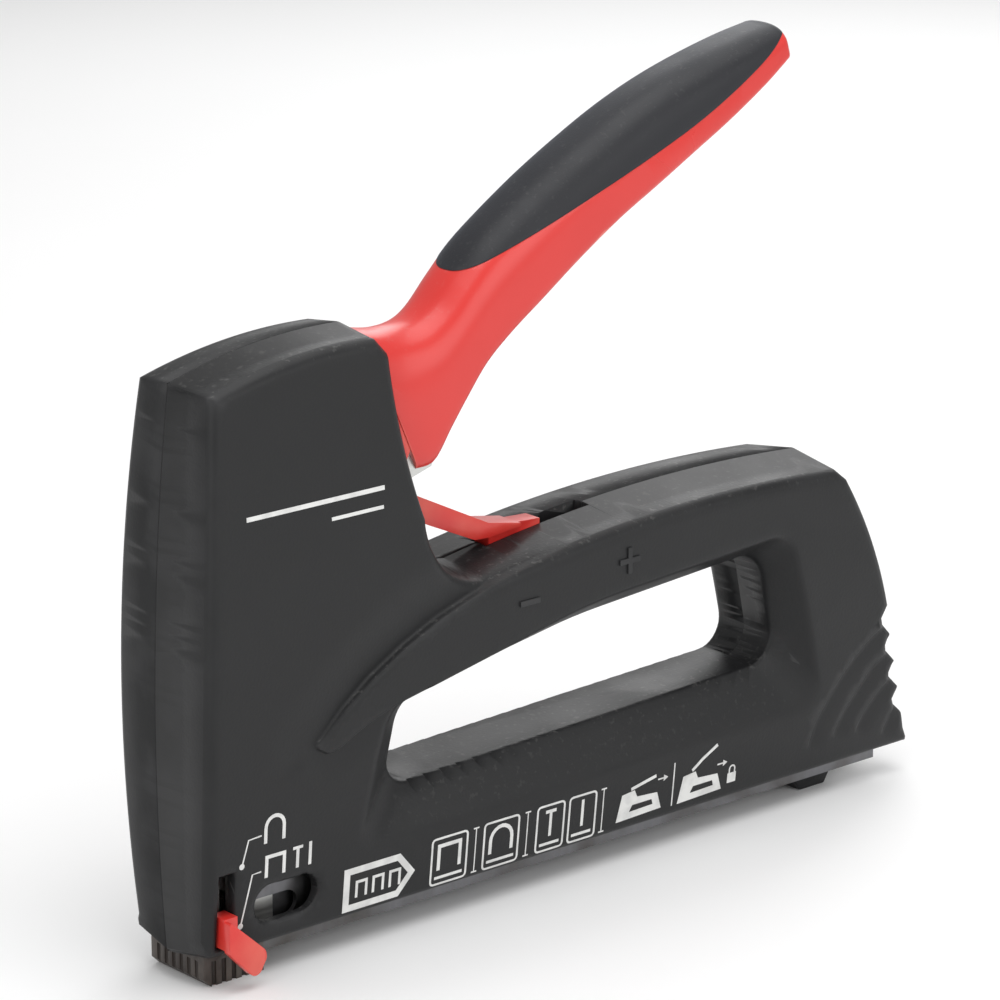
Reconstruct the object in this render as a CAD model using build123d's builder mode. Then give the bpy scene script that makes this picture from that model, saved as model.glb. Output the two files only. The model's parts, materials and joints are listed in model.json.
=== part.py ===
from build123d import *
import os
from math import cos, radians, sin, sqrt

# Hand staple gun. Millimetres, +Z up, nose at the front (-X), handle lever to the rear (+X).
# The origin is at the nose tip: on the driver's line, in the parting plane, at the surface it stands on.

# ---- driving dimensions: casing ----
driver_setback = 9.0        # driver line behind the foremost point of the casing
body_rear = 194.4           # rear bottom corner behind the foremost point
body_bottom = 5.3           # underside of the casing above the standing plane
head_top = 122.4            # crown of the head
grip_top = 76.2             # highest point of the hand grip
waist_half = 14.7           # half the casing width at its widest
waist_height = 64.0         # height of the widest point
end_half = 11.4             # half the casing width at the head's top
end_reach = 56.0            # height from the widest point to where end_half is measured
side_draft = 8.0            # draft of the narrow faces, in degrees
seam_groove = 0.3           # width of the groove along the parting line
seam_depth = 0.5

# ---- finger loop ----
loop_bottom = 29.6
loop_front = 48.5
loop_rear = 154.8
loop_roof_front = 47.0
loop_roof_rear = 57.5
loop_land_half = 8.0        # half width of the loop's inner land, before its side bevels
loop_front_bevel = 13.8     # how far each bevel spreads out to the casing's side
loop_rear_bevel = 12.4
loop_bottom_bevel = 14.0
loop_roof_bevel = 5.0

# ---- inside of the casing ----
head_cavity_half = 9.4
rail_cavity_half = 7.15
grip_cavity_half = 6.2
front_wall = 3.6

# ---- lever ----
pivot_back = 45.0           # pivot behind the foremost point
pivot_height = 101.0
squeeze_angle = 27.0        # full squeeze of the lever, in degrees
lever_half = 9.2            # half the lever's width
core_plate = 1.4            # sheet of the steel core
core_clearance = 0.05
hub_radius = 11.5
hub_half = 9.0
pivot_pin_radius = 3.0
pin_running_gap = 0.05
arm_half_height = 3.6

# ---- drive ----
driver_thickness = 1.3
driver_half = 5.6
driver_tip = 0.9            # tip of the blade above the standing plane, at rest
spring_radius = 4.9         # mean radius of the mainspring
spring_wire = 1.1           # radius of its wire
spring_bottom = 64.0
spring_top = 109.5
spring_turns = 10
lift_pin_radius = 1.5
slide_gap = 0.15

# ---- magazine ----
channel_half = 7.0
channel_top = 18.0
channel_bottom = 3.4
channel_sheet = 1.0
rail_half = 4.6
rail_top = 15.5
rail_bottom = 3.5
rail_sheet = 1.0
magazine_front = 11.0
magazine_rear = 186.0
rail_rear = 160.0

# ---- nose ----
nose_front = 4.2
nose_rear = 18.5
nose_half = 8.3
nose_top = 9.0
nose_teeth = 7

# ---- screws ----
screw_radius = 1.45
screw_head_radius = 2.7
screw_head_height = 1.5
boss_radius = 4.0
screw_sink = 2.7            # how far the screw seats lie below the casing's side
screw_places = [
    (27.5, 115.0),
    (34.5, 68.0),
    (31.5, 33.0),
    (71.0, 61.5),
    (150.0, 66.8),
    (171.5, 33.0),
    (118.0, 24.9),
]

# ---- power slider ----
slot_front = 80.0
slot_rear = 107.4
slot_half = 2.3
slider_half = 2.1

# ---- staple selector ----
selector_slot_front = 4.9
selector_slot_rear = 8.8
selector_slot_bottom = 8.5
selector_slot_top = 23.7

os.makedirs("parts", exist_ok=True)


def at(back, height):
    """Side-view point: distance behind the foremost point of the casing, height above the standing plane."""
    return (back - driver_setback, height)


def half_width(height):
    """Half the casing's width at a height: its sides are one long arc."""
    return waist_half - (side_arc - sqrt(side_arc**2 - (height - waist_height) ** 2))


def save(part, name):
    part.label = name
    export_step(part, f"parts/{name}.step")


side_arc = (end_reach**2 + (waist_half - end_half) ** 2) / (2 * (waist_half - end_half))
pivot = at(pivot_back, pivot_height)
reach = 16.5 / (2 * sin(radians(squeeze_angle / 2)))
lift_pin = (
    pivot[0] - reach * cos(radians(squeeze_angle / 2)),
    pivot[1] - reach * sin(radians(squeeze_angle / 2)),
)


def casing_outline():
    """The casing seen from the side, without the finger loop."""
    front = ThreePointArc(at(1.5, body_bottom), at(0, 50), at(4.6, head_top - 5))
    crest = ThreePointArc(front @ 1, at(23, head_top - 0.9), at(46.5, head_top))
    nape = Line(crest @ 1, at(50.5, head_top - 4.5))
    back = ThreePointArc(nape @ 1, at(52.2, 104), at(57.6, 84.5))
    sweep_in = ThreePointArc(back @ 1, at(61.0, 75.5), at(71, 70.3))
    grip = ThreePointArc(sweep_in @ 1, at(120, grip_top - 0.6), at(167, grip_top - 1.4))
    shoulder = Line(grip @ 1, at(171, grip_top - 4.6))
    heel = ThreePointArc(shoulder @ 1, at(179.3, 56.5), at(185.4, 39.5))
    Line(heel @ 1, at(body_rear, body_bottom))
    Line(at(body_rear, body_bottom), front @ 0)


def loop_outline(front, rear, bottom, roof, spread):
    """The finger loop, spread outwards from its inner land: spread is 0 on the land and 1 at the side."""
    low = loop_bottom - spread * bottom
    low_rear = loop_bottom + 3.4 - spread * (bottom + 1.5)
    ahead = loop_front - spread * front
    behind = loop_rear + spread * rear
    FilletPolyline(
        at(ahead, low),
        at(behind, low_rear),
        at(loop_rear - 5.0 + spread * 3.0, loop_roof_rear + spread * roof),
        at(98, (loop_roof_front + loop_roof_rear) / 2 + 1.8 + spread * roof),
        at(loop_front + 4.5 - spread * 8.5, loop_roof_front + spread * 1.2),
        radius=(5, 6, 7, 150, 7),
        close=True,
    )


# ---- casing blank: one half, from the parting plane out to its side ----
with BuildPart() as blank:
    with BuildSketch(Plane.XZ):
        with BuildLine():
            casing_outline()
        make_face()
    extrude(amount=waist_half + 1, taper=side_draft)
    with BuildSketch(Plane.YZ.offset(-driver_setback - 1)):
        with BuildLine():
            side = ThreePointArc(
                (-half_width(0), 0),
                (-waist_half, waist_height),
                (-half_width(head_top + 2), head_top + 2),
            )
            Polyline(side @ 1, (0, head_top + 2), (0, 0), side @ 0)
        make_face()
    extrude(amount=body_rear + 5, mode=Mode.INTERSECT)
    # steps down the heel, like overlapping scales
    for step in range(4):
        with BuildSketch(Plane.XZ):
            with BuildLine():
                Polyline(
                    at(183.6 + 1.7 * step, 37.2 - 6.5 * step),
                    at(187.6 + 1.9 * step, 32.6 - 6.4 * step),
                    at(192.0 + 1.9 * step, 34.0 - 6.4 * step),
                    at(188.0 + 1.9 * step, 41.0 - 6.4 * step),
                    close=True,
                )
            make_face()
        extrude(amount=waist_half + 1, mode=Mode.SUBTRACT)
    # finger loop: a straight land with a wide bevel on the side
    with BuildSketch(Plane.XZ):
        with BuildLine():
            loop_outline(0, 0, 0, 0, 0)
        make_face()
    extrude(amount=waist_half + 1, mode=Mode.SUBTRACT)
    with BuildSketch(Plane.XZ.offset(loop_land_half)) as land_edge:
        with BuildLine():
            loop_outline(0, 0, 0, 0, 0)
        make_face()
    with BuildSketch(Plane.XZ.offset(waist_half)) as side_edge:
        with BuildLine():
            loop_outline(loop_front_bevel, loop_rear_bevel, loop_bottom_bevel, loop_roof_bevel, 1)
        make_face()
    loft(sections=[land_edge.sketch.face(), side_edge.sketch.face()], ruled=True, mode=Mode.SUBTRACT)


# ---- spaces for the works, cut from both shells. Round bosses stay for the screws ----
with BuildPart() as works_space:
    with BuildSketch(Plane.XZ):
        with BuildLine():
            Polyline(
                at(front_wall + 0.4, 8.2),
                at(front_wall + 0.2, 60.0),
                at(front_wall + 1.0, 92.0),
                at(front_wall + 2.2, 104.0),
                at(front_wall + 2.8, head_top - 11.9),
                at(9.4, head_top - 7.4),
                at(22.0, head_top - 4.2),
                at(45.2, head_top - 3.2),
                at(45.2, head_top + 6.0),
                at(66.0, head_top + 6.0),
                at(66.0, 80.5),
                at(46.0, 80.5),
                at(46.0, 57.0),
                at(39.5, 49.0),
                at(39.5, 8.2),
                close=True,
            )
        make_face()
        with Locations(*[at(*place) for place in screw_places[:3]]):
            Circle(boss_radius, mode=Mode.SUBTRACT)
    extrude(amount=head_cavity_half, both=True)
    with BuildSketch(Plane.XZ):
        with BuildLine():
            Polyline(
                at(36, 10),
                at(184, 10),
                at(182, 24),
                at(178, 42),
                at(166.5, grip_top - 5.4),
                at(158, grip_top - 3.6),
                at(118, grip_top - 4.0),
                at(94, grip_top - 5.6),
                at(70, grip_top - 9.2),
                at(58, 60),
                at(58, 53),
                at(98, 57.6),
                at(150, 61.3),
                at(155.5, 58.5),
                at(159.5, 36),
                at(157, 27),
                at(36, 26.8),
                close=True,
            )
        make_face()
        with Locations(*[at(*place) for place in screw_places[3:]]):
            Circle(boss_radius, mode=Mode.SUBTRACT)
    extrude(amount=grip_cavity_half, both=True)
    # magazine bay, open below and behind
    with BuildSketch(Plane.XZ):
        with Locations(at(magazine_front, 0)):
            Rectangle(200, channel_top + slide_gap, align=(Align.MIN, Align.MIN))
    extrude(amount=rail_cavity_half, both=True)
    # nose opening
    with BuildSketch(Plane.XZ):
        with Locations(at(front_wall, 0)):
            Rectangle(nose_rear + 0.3 - front_wall, nose_top + 0.2, align=(Align.MIN, Align.MIN))
    extrude(amount=nose_half + 0.2, both=True)
    # slot for the power slider
    with BuildSketch(Plane.XZ):
        with Locations(at(slot_front, 66)):
            Rectangle(slot_rear - slot_front, 15, align=(Align.MIN, Align.MIN))
    extrude(amount=slot_half, both=True)
    # seats of the lever's pivot pin
    with BuildSketch(Plane.XZ):
        with Locations(pivot):
            Circle(pivot_pin_radius)
    extrude(amount=head_cavity_half + 1.6, both=True)
    # groove along the parting line
    with BuildSketch(Plane.XZ) as rim:
        with BuildLine():
            casing_outline()
        make_face()
        offset(rim.sketch, amount=-seam_depth, mode=Mode.SUBTRACT)
    extrude(amount=seam_groove / 2, both=True)


# ---- left shell (-Y): selector slot, staple window, blind screw holes ----
with BuildPart() as casing_left:
    add(blank.part)
    add(works_space.part, mode=Mode.SUBTRACT)
    with BuildSketch(Plane.XZ.offset(head_cavity_half - 0.5)):
        with Locations(at(selector_slot_front, selector_slot_bottom)):
            Rectangle(
                selector_slot_rear - selector_slot_front,
                selector_slot_top - selector_slot_bottom,
                align=(Align.MIN, Align.MIN),
            )
        with Locations(at(21.8, 14.95)):
            SlotOverall(15.4, 7.9)
    extrude(amount=waist_half, mode=Mode.SUBTRACT)
    with BuildSketch(Plane.XZ):
        with Locations(*[at(*place) for place in screw_places]):
            Circle(screw_radius + 0.03)
    extrude(amount=7.0, mode=Mode.SUBTRACT)
save(casing_left.part, "casing_left")

# ---- right shell (+Y): sunk seats for the screws ----
with BuildPart() as casing_right:
    mirror(blank.part, about=Plane.XZ)
    add(works_space.part, mode=Mode.SUBTRACT)
    for place in screw_places:
        seat = half_width(place[1]) - screw_sink
        with BuildSketch(Plane.XZ.offset(-seat)):
            with Locations(at(*place)):
                Circle(screw_head_radius + 0.3)
        extrude(amount=-waist_half, mode=Mode.SUBTRACT)
    with BuildSketch(Plane.XZ):
        with Locations(*[at(*place) for place in screw_places]):
            Circle(screw_radius + 0.15)
    extrude(amount=-waist_half, mode=Mode.SUBTRACT)
save(casing_right.part, "casing_right")

# ---- casing screws: pan heads with a cross recess, all driven from the right ----
with BuildPart() as casing_screws:
    for place in screw_places:
        seat = half_width(place[1]) - screw_sink
        with BuildSketch(Plane.XZ.offset(6.5)):
            with Locations(at(*place)):
                Circle(screw_radius)
        extrude(amount=-(seat + 6.5))
        with BuildSketch(Plane.XZ.offset(-seat)):
            with Locations(at(*place)):
                Circle(screw_head_radius)
        extrude(amount=-screw_head_height)
        with BuildSketch(Plane.XZ.offset(-seat - screw_head_height)):
            with Locations(at(*place)):
                Rectangle(2.6, 0.6)
                Rectangle(0.6, 2.6)
        extrude(amount=0.8, mode=Mode.SUBTRACT)
save(casing_screws.part, "casing_screws")

# ---- nose block: ribbed shoe that the staples leave through ----
with BuildPart() as nose_block:
    with BuildSketch(Plane.XY):
        with Locations(((nose_front + nose_rear) / 2 - driver_setback, 0)):
            Rectangle(nose_rear - nose_front, 2 * nose_half)
    extrude(amount=nose_top)
    chamfer(nose_block.edges().filter_by(Axis.Y).group_by(Axis.Z)[0].sort_by(Axis.X)[0], 1.6)
    # vertical grooves on the front and both sides
    with BuildSketch(Plane.XY):
        with GridLocations(0, 2 * nose_half / nose_teeth, 1, nose_teeth - 1):
            with Locations((nose_front - driver_setback, 0)):
                Circle(0.55)
        with Locations(((nose_front + nose_rear) / 2 - driver_setback, 0)):
            with GridLocations(2.4, 2 * nose_half, 5, 2):
                Circle(0.55)
    extrude(amount=5.0, mode=Mode.SUBTRACT)
    # bay for the magazine channel, and the staple's way out
    with BuildSketch(Plane.XY.offset(channel_bottom - 0.1)):
        with Locations((magazine_front - 0.2 - driver_setback, 0)):
            Rectangle(20, 2 * (channel_half + 0.1), align=(Align.MIN, Align.CENTER))
    extrude(amount=nose_top, mode=Mode.SUBTRACT)
    with BuildSketch(Plane.XY):
        with Locations((-0.8, 0)):
            Rectangle(magazine_front - 0.2 - driver_setback + 0.81, 12.8, align=(Align.MIN, Align.CENTER))
    extrude(amount=nose_top, mode=Mode.SUBTRACT)
save(nose_block.part, "nose_block")

# ---- driver guides: front plate and rear block, riveted together on both sides of the blade ----
guide_top = 50.0
guide_half = 8.2
blade_channel_half = 6.0    # half width of the gap that the blade runs in
rivet_radius = 0.8
rivet_spots = [(side, height) for side in (-7.1, 7.1) for height in (28.0, 44.0)]
with BuildPart() as front_plate:
    with BuildSketch(Plane.YZ.offset(-0.8)):
        with Locations((0, nose_top + 0.1)):
            Rectangle(2 * guide_half, guide_top - nose_top - 0.1, align=(Align.CENTER, Align.MIN))
        with Locations(*rivet_spots):
            Circle(rivet_radius, mode=Mode.SUBTRACT)
    extrude(amount=-1.9)
save(front_plate.part, "front_plate")

with BuildPart() as driver_guide:
    with BuildSketch(Plane.YZ.offset(0.8)):
        with Locations((0, channel_top + 0.2)):
            Rectangle(2 * guide_half, guide_top - channel_top - 0.2, align=(Align.CENTER, Align.MIN))
        with Locations(*rivet_spots):
            Circle(rivet_radius, mode=Mode.SUBTRACT)
    extrude(amount=6.0)
    with BuildSketch(Plane.YZ.offset(-0.8)):
        with Locations((-7.1, 36), (7.1, 36)):
            Rectangle(guide_half - blade_channel_half, guide_top - 22.1)
        with Locations(*rivet_spots):
            Circle(rivet_radius, mode=Mode.SUBTRACT)
    extrude(amount=1.6)
save(driver_guide.part, "driver_guide")

with BuildPart() as guide_rivets:
    for spot in rivet_spots:
        with BuildSketch(Plane.YZ.offset(-2.7)):
            with Locations(spot):
                Circle(rivet_radius)
        extrude(amount=9.5)
save(guide_rivets.part, "guide_rivets")

with BuildPart() as stop_bumper:
    with BuildSketch(Plane.XY.offset(guide_top)):
        with Locations((1.0, 0)):
            Rectangle(5.6, 15.6, align=(Align.MIN, Align.CENTER))
    extrude(amount=3.3)
save(stop_bumper.part, "stop_bumper")

# ---- driver blade, its block and the stirrup that lifts them ----
spring_axis = lift_pin[0] + 2.4     # set back from the lift pin, so that the coils clear the front wall
stirrup_in = 8.0
stirrup_out = 9.1
block_bottom = 56.0
block_top = spring_bottom
with BuildPart() as driver_blade:
    with BuildSketch(Plane.XY.offset(driver_tip)):
        Rectangle(driver_thickness, 2 * driver_half)
    extrude(amount=62.0 - driver_tip)
save(driver_blade.part, "driver_blade")

with BuildPart() as driver_block:
    with BuildSketch(Plane.XY.offset(block_bottom)):
        with Locations((spring_axis, 0)):
            Rectangle(12.4, 15.2)
    extrude(amount=block_top - block_bottom)
    fillet(driver_block.edges().filter_by(Axis.Z), 1.5)
    with BuildSketch(Plane.XY.offset(block_bottom)):
        Rectangle(driver_thickness, 2 * driver_half)
    extrude(amount=62.0 - block_bottom, mode=Mode.SUBTRACT)
save(driver_block.part, "driver_block")

with BuildPart() as lift_stirrup:
    with BuildSketch(Plane.XZ.offset(stirrup_in)):
        with BuildLine():
            Polyline(
                (lift_pin[0] - 3.9, 53.5),
                (lift_pin[0] + 5.0, 53.5),
                (lift_pin[0] + 5.0, lift_pin[1] + 2.4),
                (lift_pin[0] + 3.2, lift_pin[1] + 3.9),
                (lift_pin[0] - 1.5, lift_pin[1] + 3.9),
                (lift_pin[0] - 3.9, lift_pin[1] + 1.5),
                close=True,
            )
        make_face()
        with Locations((lift_pin[0] - 0.5, lift_pin[1])):
            SlotOverall(
                1.0 + 2 * (lift_pin_radius + 0.3),
                2 * (lift_pin_radius + slide_gap),
                mode=Mode.SUBTRACT,
            )
    extrude(amount=stirrup_out - stirrup_in)
    mirror(about=Plane.XZ)
    with BuildSketch(Plane.XY.offset(53.5)):
        with Locations((lift_pin[0] + 0.55, 0)):
            Rectangle(8.9, 2 * stirrup_out)
        Rectangle(driver_thickness, 2 * driver_half, mode=Mode.SUBTRACT)
    extrude(amount=block_bottom - 53.5)
save(lift_stirrup.part, "lift_stirrup")

# ---- mainspring and its upper seat ----
with BuildPart() as mainspring:
    coil_height = spring_top - spring_bottom - 2 * spring_wire
    with BuildLine(Plane.XY.offset(spring_bottom + spring_wire)):
        coil = Helix(
            pitch=coil_height / spring_turns,
            height=coil_height,
            radius=spring_radius,
            center=(spring_axis, 0, 0),
        )
    with BuildSketch(Plane(origin=coil @ 0, z_dir=coil % 0)):
        Circle(spring_wire)
    sweep(is_frenet=True)
save(mainspring.part, "mainspring")

seat_half = 5.9             # narrower than the gap between the two lift arms
seat_sheet = 2.0
with BuildPart() as spring_seat:
    with BuildSketch(Plane.XY.offset(spring_top)):
        with Locations((spring_axis, 0)):
            Rectangle(10.6, 2 * seat_half)
    extrude(amount=seat_sheet)
    # stem up to the roof of the casing, which takes the spring's force
    with BuildSketch(Plane.XY.offset(spring_top + seat_sheet)):
        with Locations((10.0 - driver_setback, 0)):
            Rectangle(7.0, 2 * seat_half, align=(Align.MIN, Align.CENTER))
    extrude(amount=head_top - 7.3 - spring_top - seat_sheet)
    with BuildSketch(Plane.XY.offset(spring_top)):
        with Locations((spring_axis, 0)):
            Circle(3.4)
    extrude(amount=-5.0)
save(spring_seat.part, "spring_seat")

# ---- magazine: channel fixed in the casing, with staple windows in both sides ----
with BuildPart() as magazine_channel:
    with BuildSketch(Plane.YZ.offset(magazine_front - driver_setback)):
        with Locations((0, channel_bottom)):
            Rectangle(2 * channel_half, channel_top - channel_bottom, align=(Align.CENTER, Align.MIN))
        with Locations((0, channel_bottom)):
            Rectangle(
                2 * (channel_half - channel_sheet),
                channel_top - channel_sheet - channel_bottom,
                align=(Align.CENTER, Align.MIN),
                mode=Mode.SUBTRACT,
            )
    extrude(amount=magazine_rear - magazine_front)
    with BuildSketch(Plane.XZ):
        with Locations(at(21.8, 11.8)):
            SlotOverall(12.0, 5.0)
    extrude(amount=channel_half + 1, both=True, mode=Mode.SUBTRACT)
save(magazine_channel.part, "magazine_channel")

# ---- rail: slides out to the rear for loading. Its foot closes the channel from below ----
with BuildPart() as magazine_rail:
    with BuildSketch(Plane.YZ.offset(magazine_front + 0.2 - driver_setback)):
        with Locations((0, rail_bottom)):
            Rectangle(2 * rail_half, rail_top - rail_bottom, align=(Align.CENTER, Align.MIN))
        with Locations((0, rail_bottom + rail_sheet)):
            Rectangle(
                2 * (rail_half - rail_sheet),
                rail_top,
                align=(Align.CENTER, Align.MIN),
                mode=Mode.SUBTRACT,
            )
        with Locations((0, rail_bottom)):
            Rectangle(2 * (channel_half - channel_sheet - 0.2), rail_sheet, align=(Align.CENTER, Align.MIN))
    extrude(amount=rail_rear - magazine_front - 0.2)
save(magazine_rail.part, "magazine_rail")

rod_height = 10.0
rod_radius = 1.2
tab_front = 164.5
tab_rear = 175.5
with BuildPart() as magazine_tab:
    with BuildSketch(Plane.YZ.offset(rail_rear - driver_setback)):
        with Locations((0, rail_bottom)):
            Rectangle(2 * (channel_half - channel_sheet - 0.2), 13.0, align=(Align.CENTER, Align.MIN))
    extrude(amount=18.0)
    with BuildSketch(Plane.XZ):
        with BuildLine():
            Polyline(
                at(tab_front - 1.0, rail_bottom),
                at(tab_front + 1.6, 0.0),
                at(tab_rear - 2.2, 0.0),
                at(tab_rear, rail_bottom),
                close=True,
            )
        make_face()
    extrude(amount=5.0, both=True)
    fillet(magazine_tab.edges().filter_by(Axis.Y).group_by(Axis.Z)[0], 0.8)
save(magazine_tab.part, "magazine_tab")

pusher_front = 11.8
pusher_length = 11.0
with BuildPart() as staple_pusher:
    with BuildSketch(Plane.YZ.offset(pusher_front - driver_setback)):
        with Locations((0, 6.0)):
            Rectangle(2 * (channel_half - channel_sheet - 0.15), 10.8, align=(Align.CENTER, Align.MIN))
            Rectangle(
                2 * (rail_half + slide_gap),
                rail_top + slide_gap - 6.0,
                align=(Align.CENTER, Align.MIN),
                mode=Mode.SUBTRACT,
            )
    extrude(amount=pusher_length)
    with BuildSketch(Plane.YZ.offset(pusher_front + 6.0 - driver_setback)):
        with Locations((0, 6.0)):
            Rectangle(2 * (rail_half - rail_sheet - 0.25), 10.0, align=(Align.CENTER, Align.MIN))
        with Locations((0, rod_height)):
            Circle(rod_radius + pin_running_gap, mode=Mode.SUBTRACT)
    extrude(amount=pusher_length - 6.0)
save(staple_pusher.part, "staple_pusher")

with BuildPart() as pusher_rod:
    with BuildSketch(Plane.YZ.offset(pusher_front + 2.0 - driver_setback)):
        with Locations((0, rod_height)):
            Circle(rod_radius)
    extrude(amount=rail_rear - pusher_front - 2.0)
save(pusher_rod.part, "pusher_rod")

pusher_spring_wire = 0.35
pusher_spring_radius = 2.1
with BuildPart() as pusher_spring:
    spring_length = rail_rear - pusher_front - pusher_length - 2 * pusher_spring_wire - 0.2
    spring_start = pusher_front + pusher_length + pusher_spring_wire + 0.1 - driver_setback
    with BuildLine():
        loose_coil = Helix(
            pitch=spring_length / 36,
            height=spring_length,
            radius=pusher_spring_radius,
            center=(spring_start, 0, rod_height),
            direction=(1, 0, 0),
        )
    with BuildSketch(Plane(origin=loose_coil @ 0, z_dir=loose_coil % 0)):
        Circle(pusher_spring_wire)
    sweep(is_frenet=True)
save(pusher_spring.part, "pusher_spring")

# ---- lever: red channel-shaped body over a steel core, with a soft grip on top ----
# Each station is (low point, high point, half width), from the head to the tip.
lever_stations = [
    ((57.4, 93.4), (46.2, 122.4), 9.0),
    ((62.2, 93.8), (56.4, 120.2), 9.0),
    ((68.6, 101.8), (64.2, 122.0), 9.0),
    ((76.2, 110.6), (72.4, 129.0), 9.0),
    ((90.0, 120.6), (83.0, 137.8), 9.2),
    ((110.0, 133.4), (102.0, 149.2), 9.4),
    ((130.0, 143.8), (123.5, 158.8), 9.3),
    ((147.0, 152.8), (142.5, 163.4), 8.8),
    ((157.4, 158.8), (154.6, 166.2), 7.6),
]


def lever_section(low, high, half):
    """One cross-section of the lever: flat below, upright sides and an elliptical crown."""
    across = Vector(high[0] - low[0], 0, high[1] - low[1])
    rise = across.length
    shoulder = 0.6 * rise
    place = Plane(origin=(low[0], 0, low[1]), x_dir=(0, 1, 0), z_dir=Vector(0, 1, 0).cross(across))
    with BuildSketch(place) as section:
        with BuildLine():
            base = Line((-half + 1.2, 0), (half - 1.2, 0))
            turn = RadiusArc(base @ 1, (half, 1.2), -1.2)
            flank = Line(turn @ 1, (half, shoulder))
            crown = EllipticalCenterArc((0, shoulder), half, rise - shoulder, 0, arc_size=180)
            other = Line(crown @ 1, (-half, 1.2))
            RadiusArc(other @ 1, base @ 0, -1.2)
        make_face()
    return section.sketch.face()


with BuildPart() as lever_blank:
    loft(sections=[lever_section(at(*low), at(*high), half) for low, high, half in lever_stations])

with BuildPart() as grip_zone:
    with BuildSketch(Plane.XZ):
        with BuildLine():
            edge = Spline(
                at(66.8, 127.2),
                at(72.0, 127.4),
                at(82.0, 132.0),
                at(100, 138.9),
                at(120, 145.9),
                at(140, 154.6),
                at(162, 169.6),
            )
            Polyline(edge @ 1, at(150, 185), at(60, 150), edge @ 0)
        make_face()
    extrude(amount=lever_half + 2, both=True)

with BuildPart() as lever_grip:
    add(lever_blank.part)
    add(grip_zone.part, mode=Mode.INTERSECT)
save(lever_grip.part, "lever_grip")

core_out = 7.8
core_in = core_out - core_plate
core_top = [
    (45, 107.5),
    (56, 110.0),
    (65, 113.6),
    (73, 121.0),
    (81, 128.6),
    (100, 136.6),
    (120, 143.8),
    (138, 151.6),
]
core_low = [
    (140, 150.4),
    (120, 140.2),
    (100, 129.2),
    (86, 120.0),
    (76, 113.0),
    (68, 103.0),
    (61.5, 92.4),
    (56, 90.8),
]
with BuildPart() as lever_body:
    add(lever_blank.part)
    # cheeks of the hub and the curved shield that keeps the head closed as the lever goes down
    with BuildSketch(Plane.XZ):
        with Locations(pivot):
            Circle(hub_radius)
        with BuildLine():
            shield = CenterArc(pivot, 17.8, 78, 72)
            Polyline(shield @ 1, pivot, shield @ 0)
        make_face()
    extrude(amount=hub_half, both=True)
    add(grip_zone.part, mode=Mode.SUBTRACT)
    # pocket for the core, open below
    with BuildSketch(Plane.XZ):
        with BuildLine():
            Polyline(
                *[at(back, height + 0.35) for back, height in core_top],
                at(141.0, 152.6),
                at(142.4, 149.0),
                at(150, 140),
                at(62, 70),
                at(10, 80),
                at(20, 107.85),
                close=True,
            )
        make_face()
    extrude(amount=core_out + core_clearance, both=True, mode=Mode.SUBTRACT)
    with BuildSketch(Plane.XZ):
        with BuildLine():
            inner = CenterArc(pivot, 16.2, 60, 110)
            Polyline(inner @ 1, pivot, inner @ 0)
        make_face()
    extrude(amount=core_out + core_clearance, both=True, mode=Mode.SUBTRACT)
    with BuildSketch(Plane.XZ):
        with Locations(pivot):
            Circle(pivot_pin_radius + pin_running_gap)
    extrude(amount=lever_half + 1, both=True, mode=Mode.SUBTRACT)
save(lever_body.part, "lever_body")

with BuildPart() as lever_core:
    with BuildSketch(Plane.XZ.offset(core_in)):
        with BuildLine():
            Polyline(
                *[at(*point) for point in core_top],
                *[at(*point) for point in core_low],
                at(45, 94.5),
                close=True,
            )
        make_face()
        # arm that reaches forward to the lift pin
        with BuildLine():
            Polyline(
                (pivot[0] - 1.2, pivot[1] + 6.0),
                (lift_pin[0] - 0.6, lift_pin[1] + arm_half_height - 0.4),
                (lift_pin[0] + 0.6, lift_pin[1] - arm_half_height + 0.4),
                (pivot[0] + 1.2, pivot[1] - 6.0),
                close=True,
            )
        make_face()
        with Locations(lift_pin):
            Circle(arm_half_height - 0.4)
        with Locations(lift_pin):
            Circle(lift_pin_radius, mode=Mode.SUBTRACT)
        with Locations(pivot):
            Circle(pivot_pin_radius + pin_running_gap, mode=Mode.SUBTRACT)
    extrude(amount=core_plate)
    mirror(about=Plane.XZ)
    # web that joins the two plates inside the lever
    with BuildSketch(Plane.XZ):
        with BuildLine():
            web_top = [at(*point) for point in core_top[2:]]
            web_low = [(back, height - 1.7) for back, height in reversed(web_top)]
            Polyline(*web_top, *web_low, close=True)
        make_face()
    extrude(amount=core_in, both=True)
save(lever_core.part, "lever_core")

with BuildPart() as lift_pins:
    with BuildSketch(Plane.XZ.offset(core_in)):
        with Locations(lift_pin):
            Circle(lift_pin_radius)
    extrude(amount=stirrup_out - core_in)
    mirror(about=Plane.XZ)
save(lift_pins.part, "lift_pins")

with BuildPart() as pivot_pin:
    with BuildSketch(Plane.XZ):
        with Locations(pivot):
            Circle(pivot_pin_radius)
    extrude(amount=head_cavity_half + 1.5, both=True)
    chamfer(pivot_pin.edges().filter_by(GeomType.CIRCLE), 0.4)
save(pivot_pin.part, "pivot_pin")

with BuildPart() as lever_spring:
    with BuildLine():
        tight_coil = Helix(
            pitch=1.5,
            height=8.4,
            radius=4.4,
            center=(pivot[0], -4.2, pivot[1]),
            direction=(0, 1, 0),
        )
    with BuildSketch(Plane(origin=tight_coil @ 0, z_dir=tight_coil % 0)):
        Circle(0.6)
    sweep(is_frenet=True)
save(lever_spring.part, "lever_spring")

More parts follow.
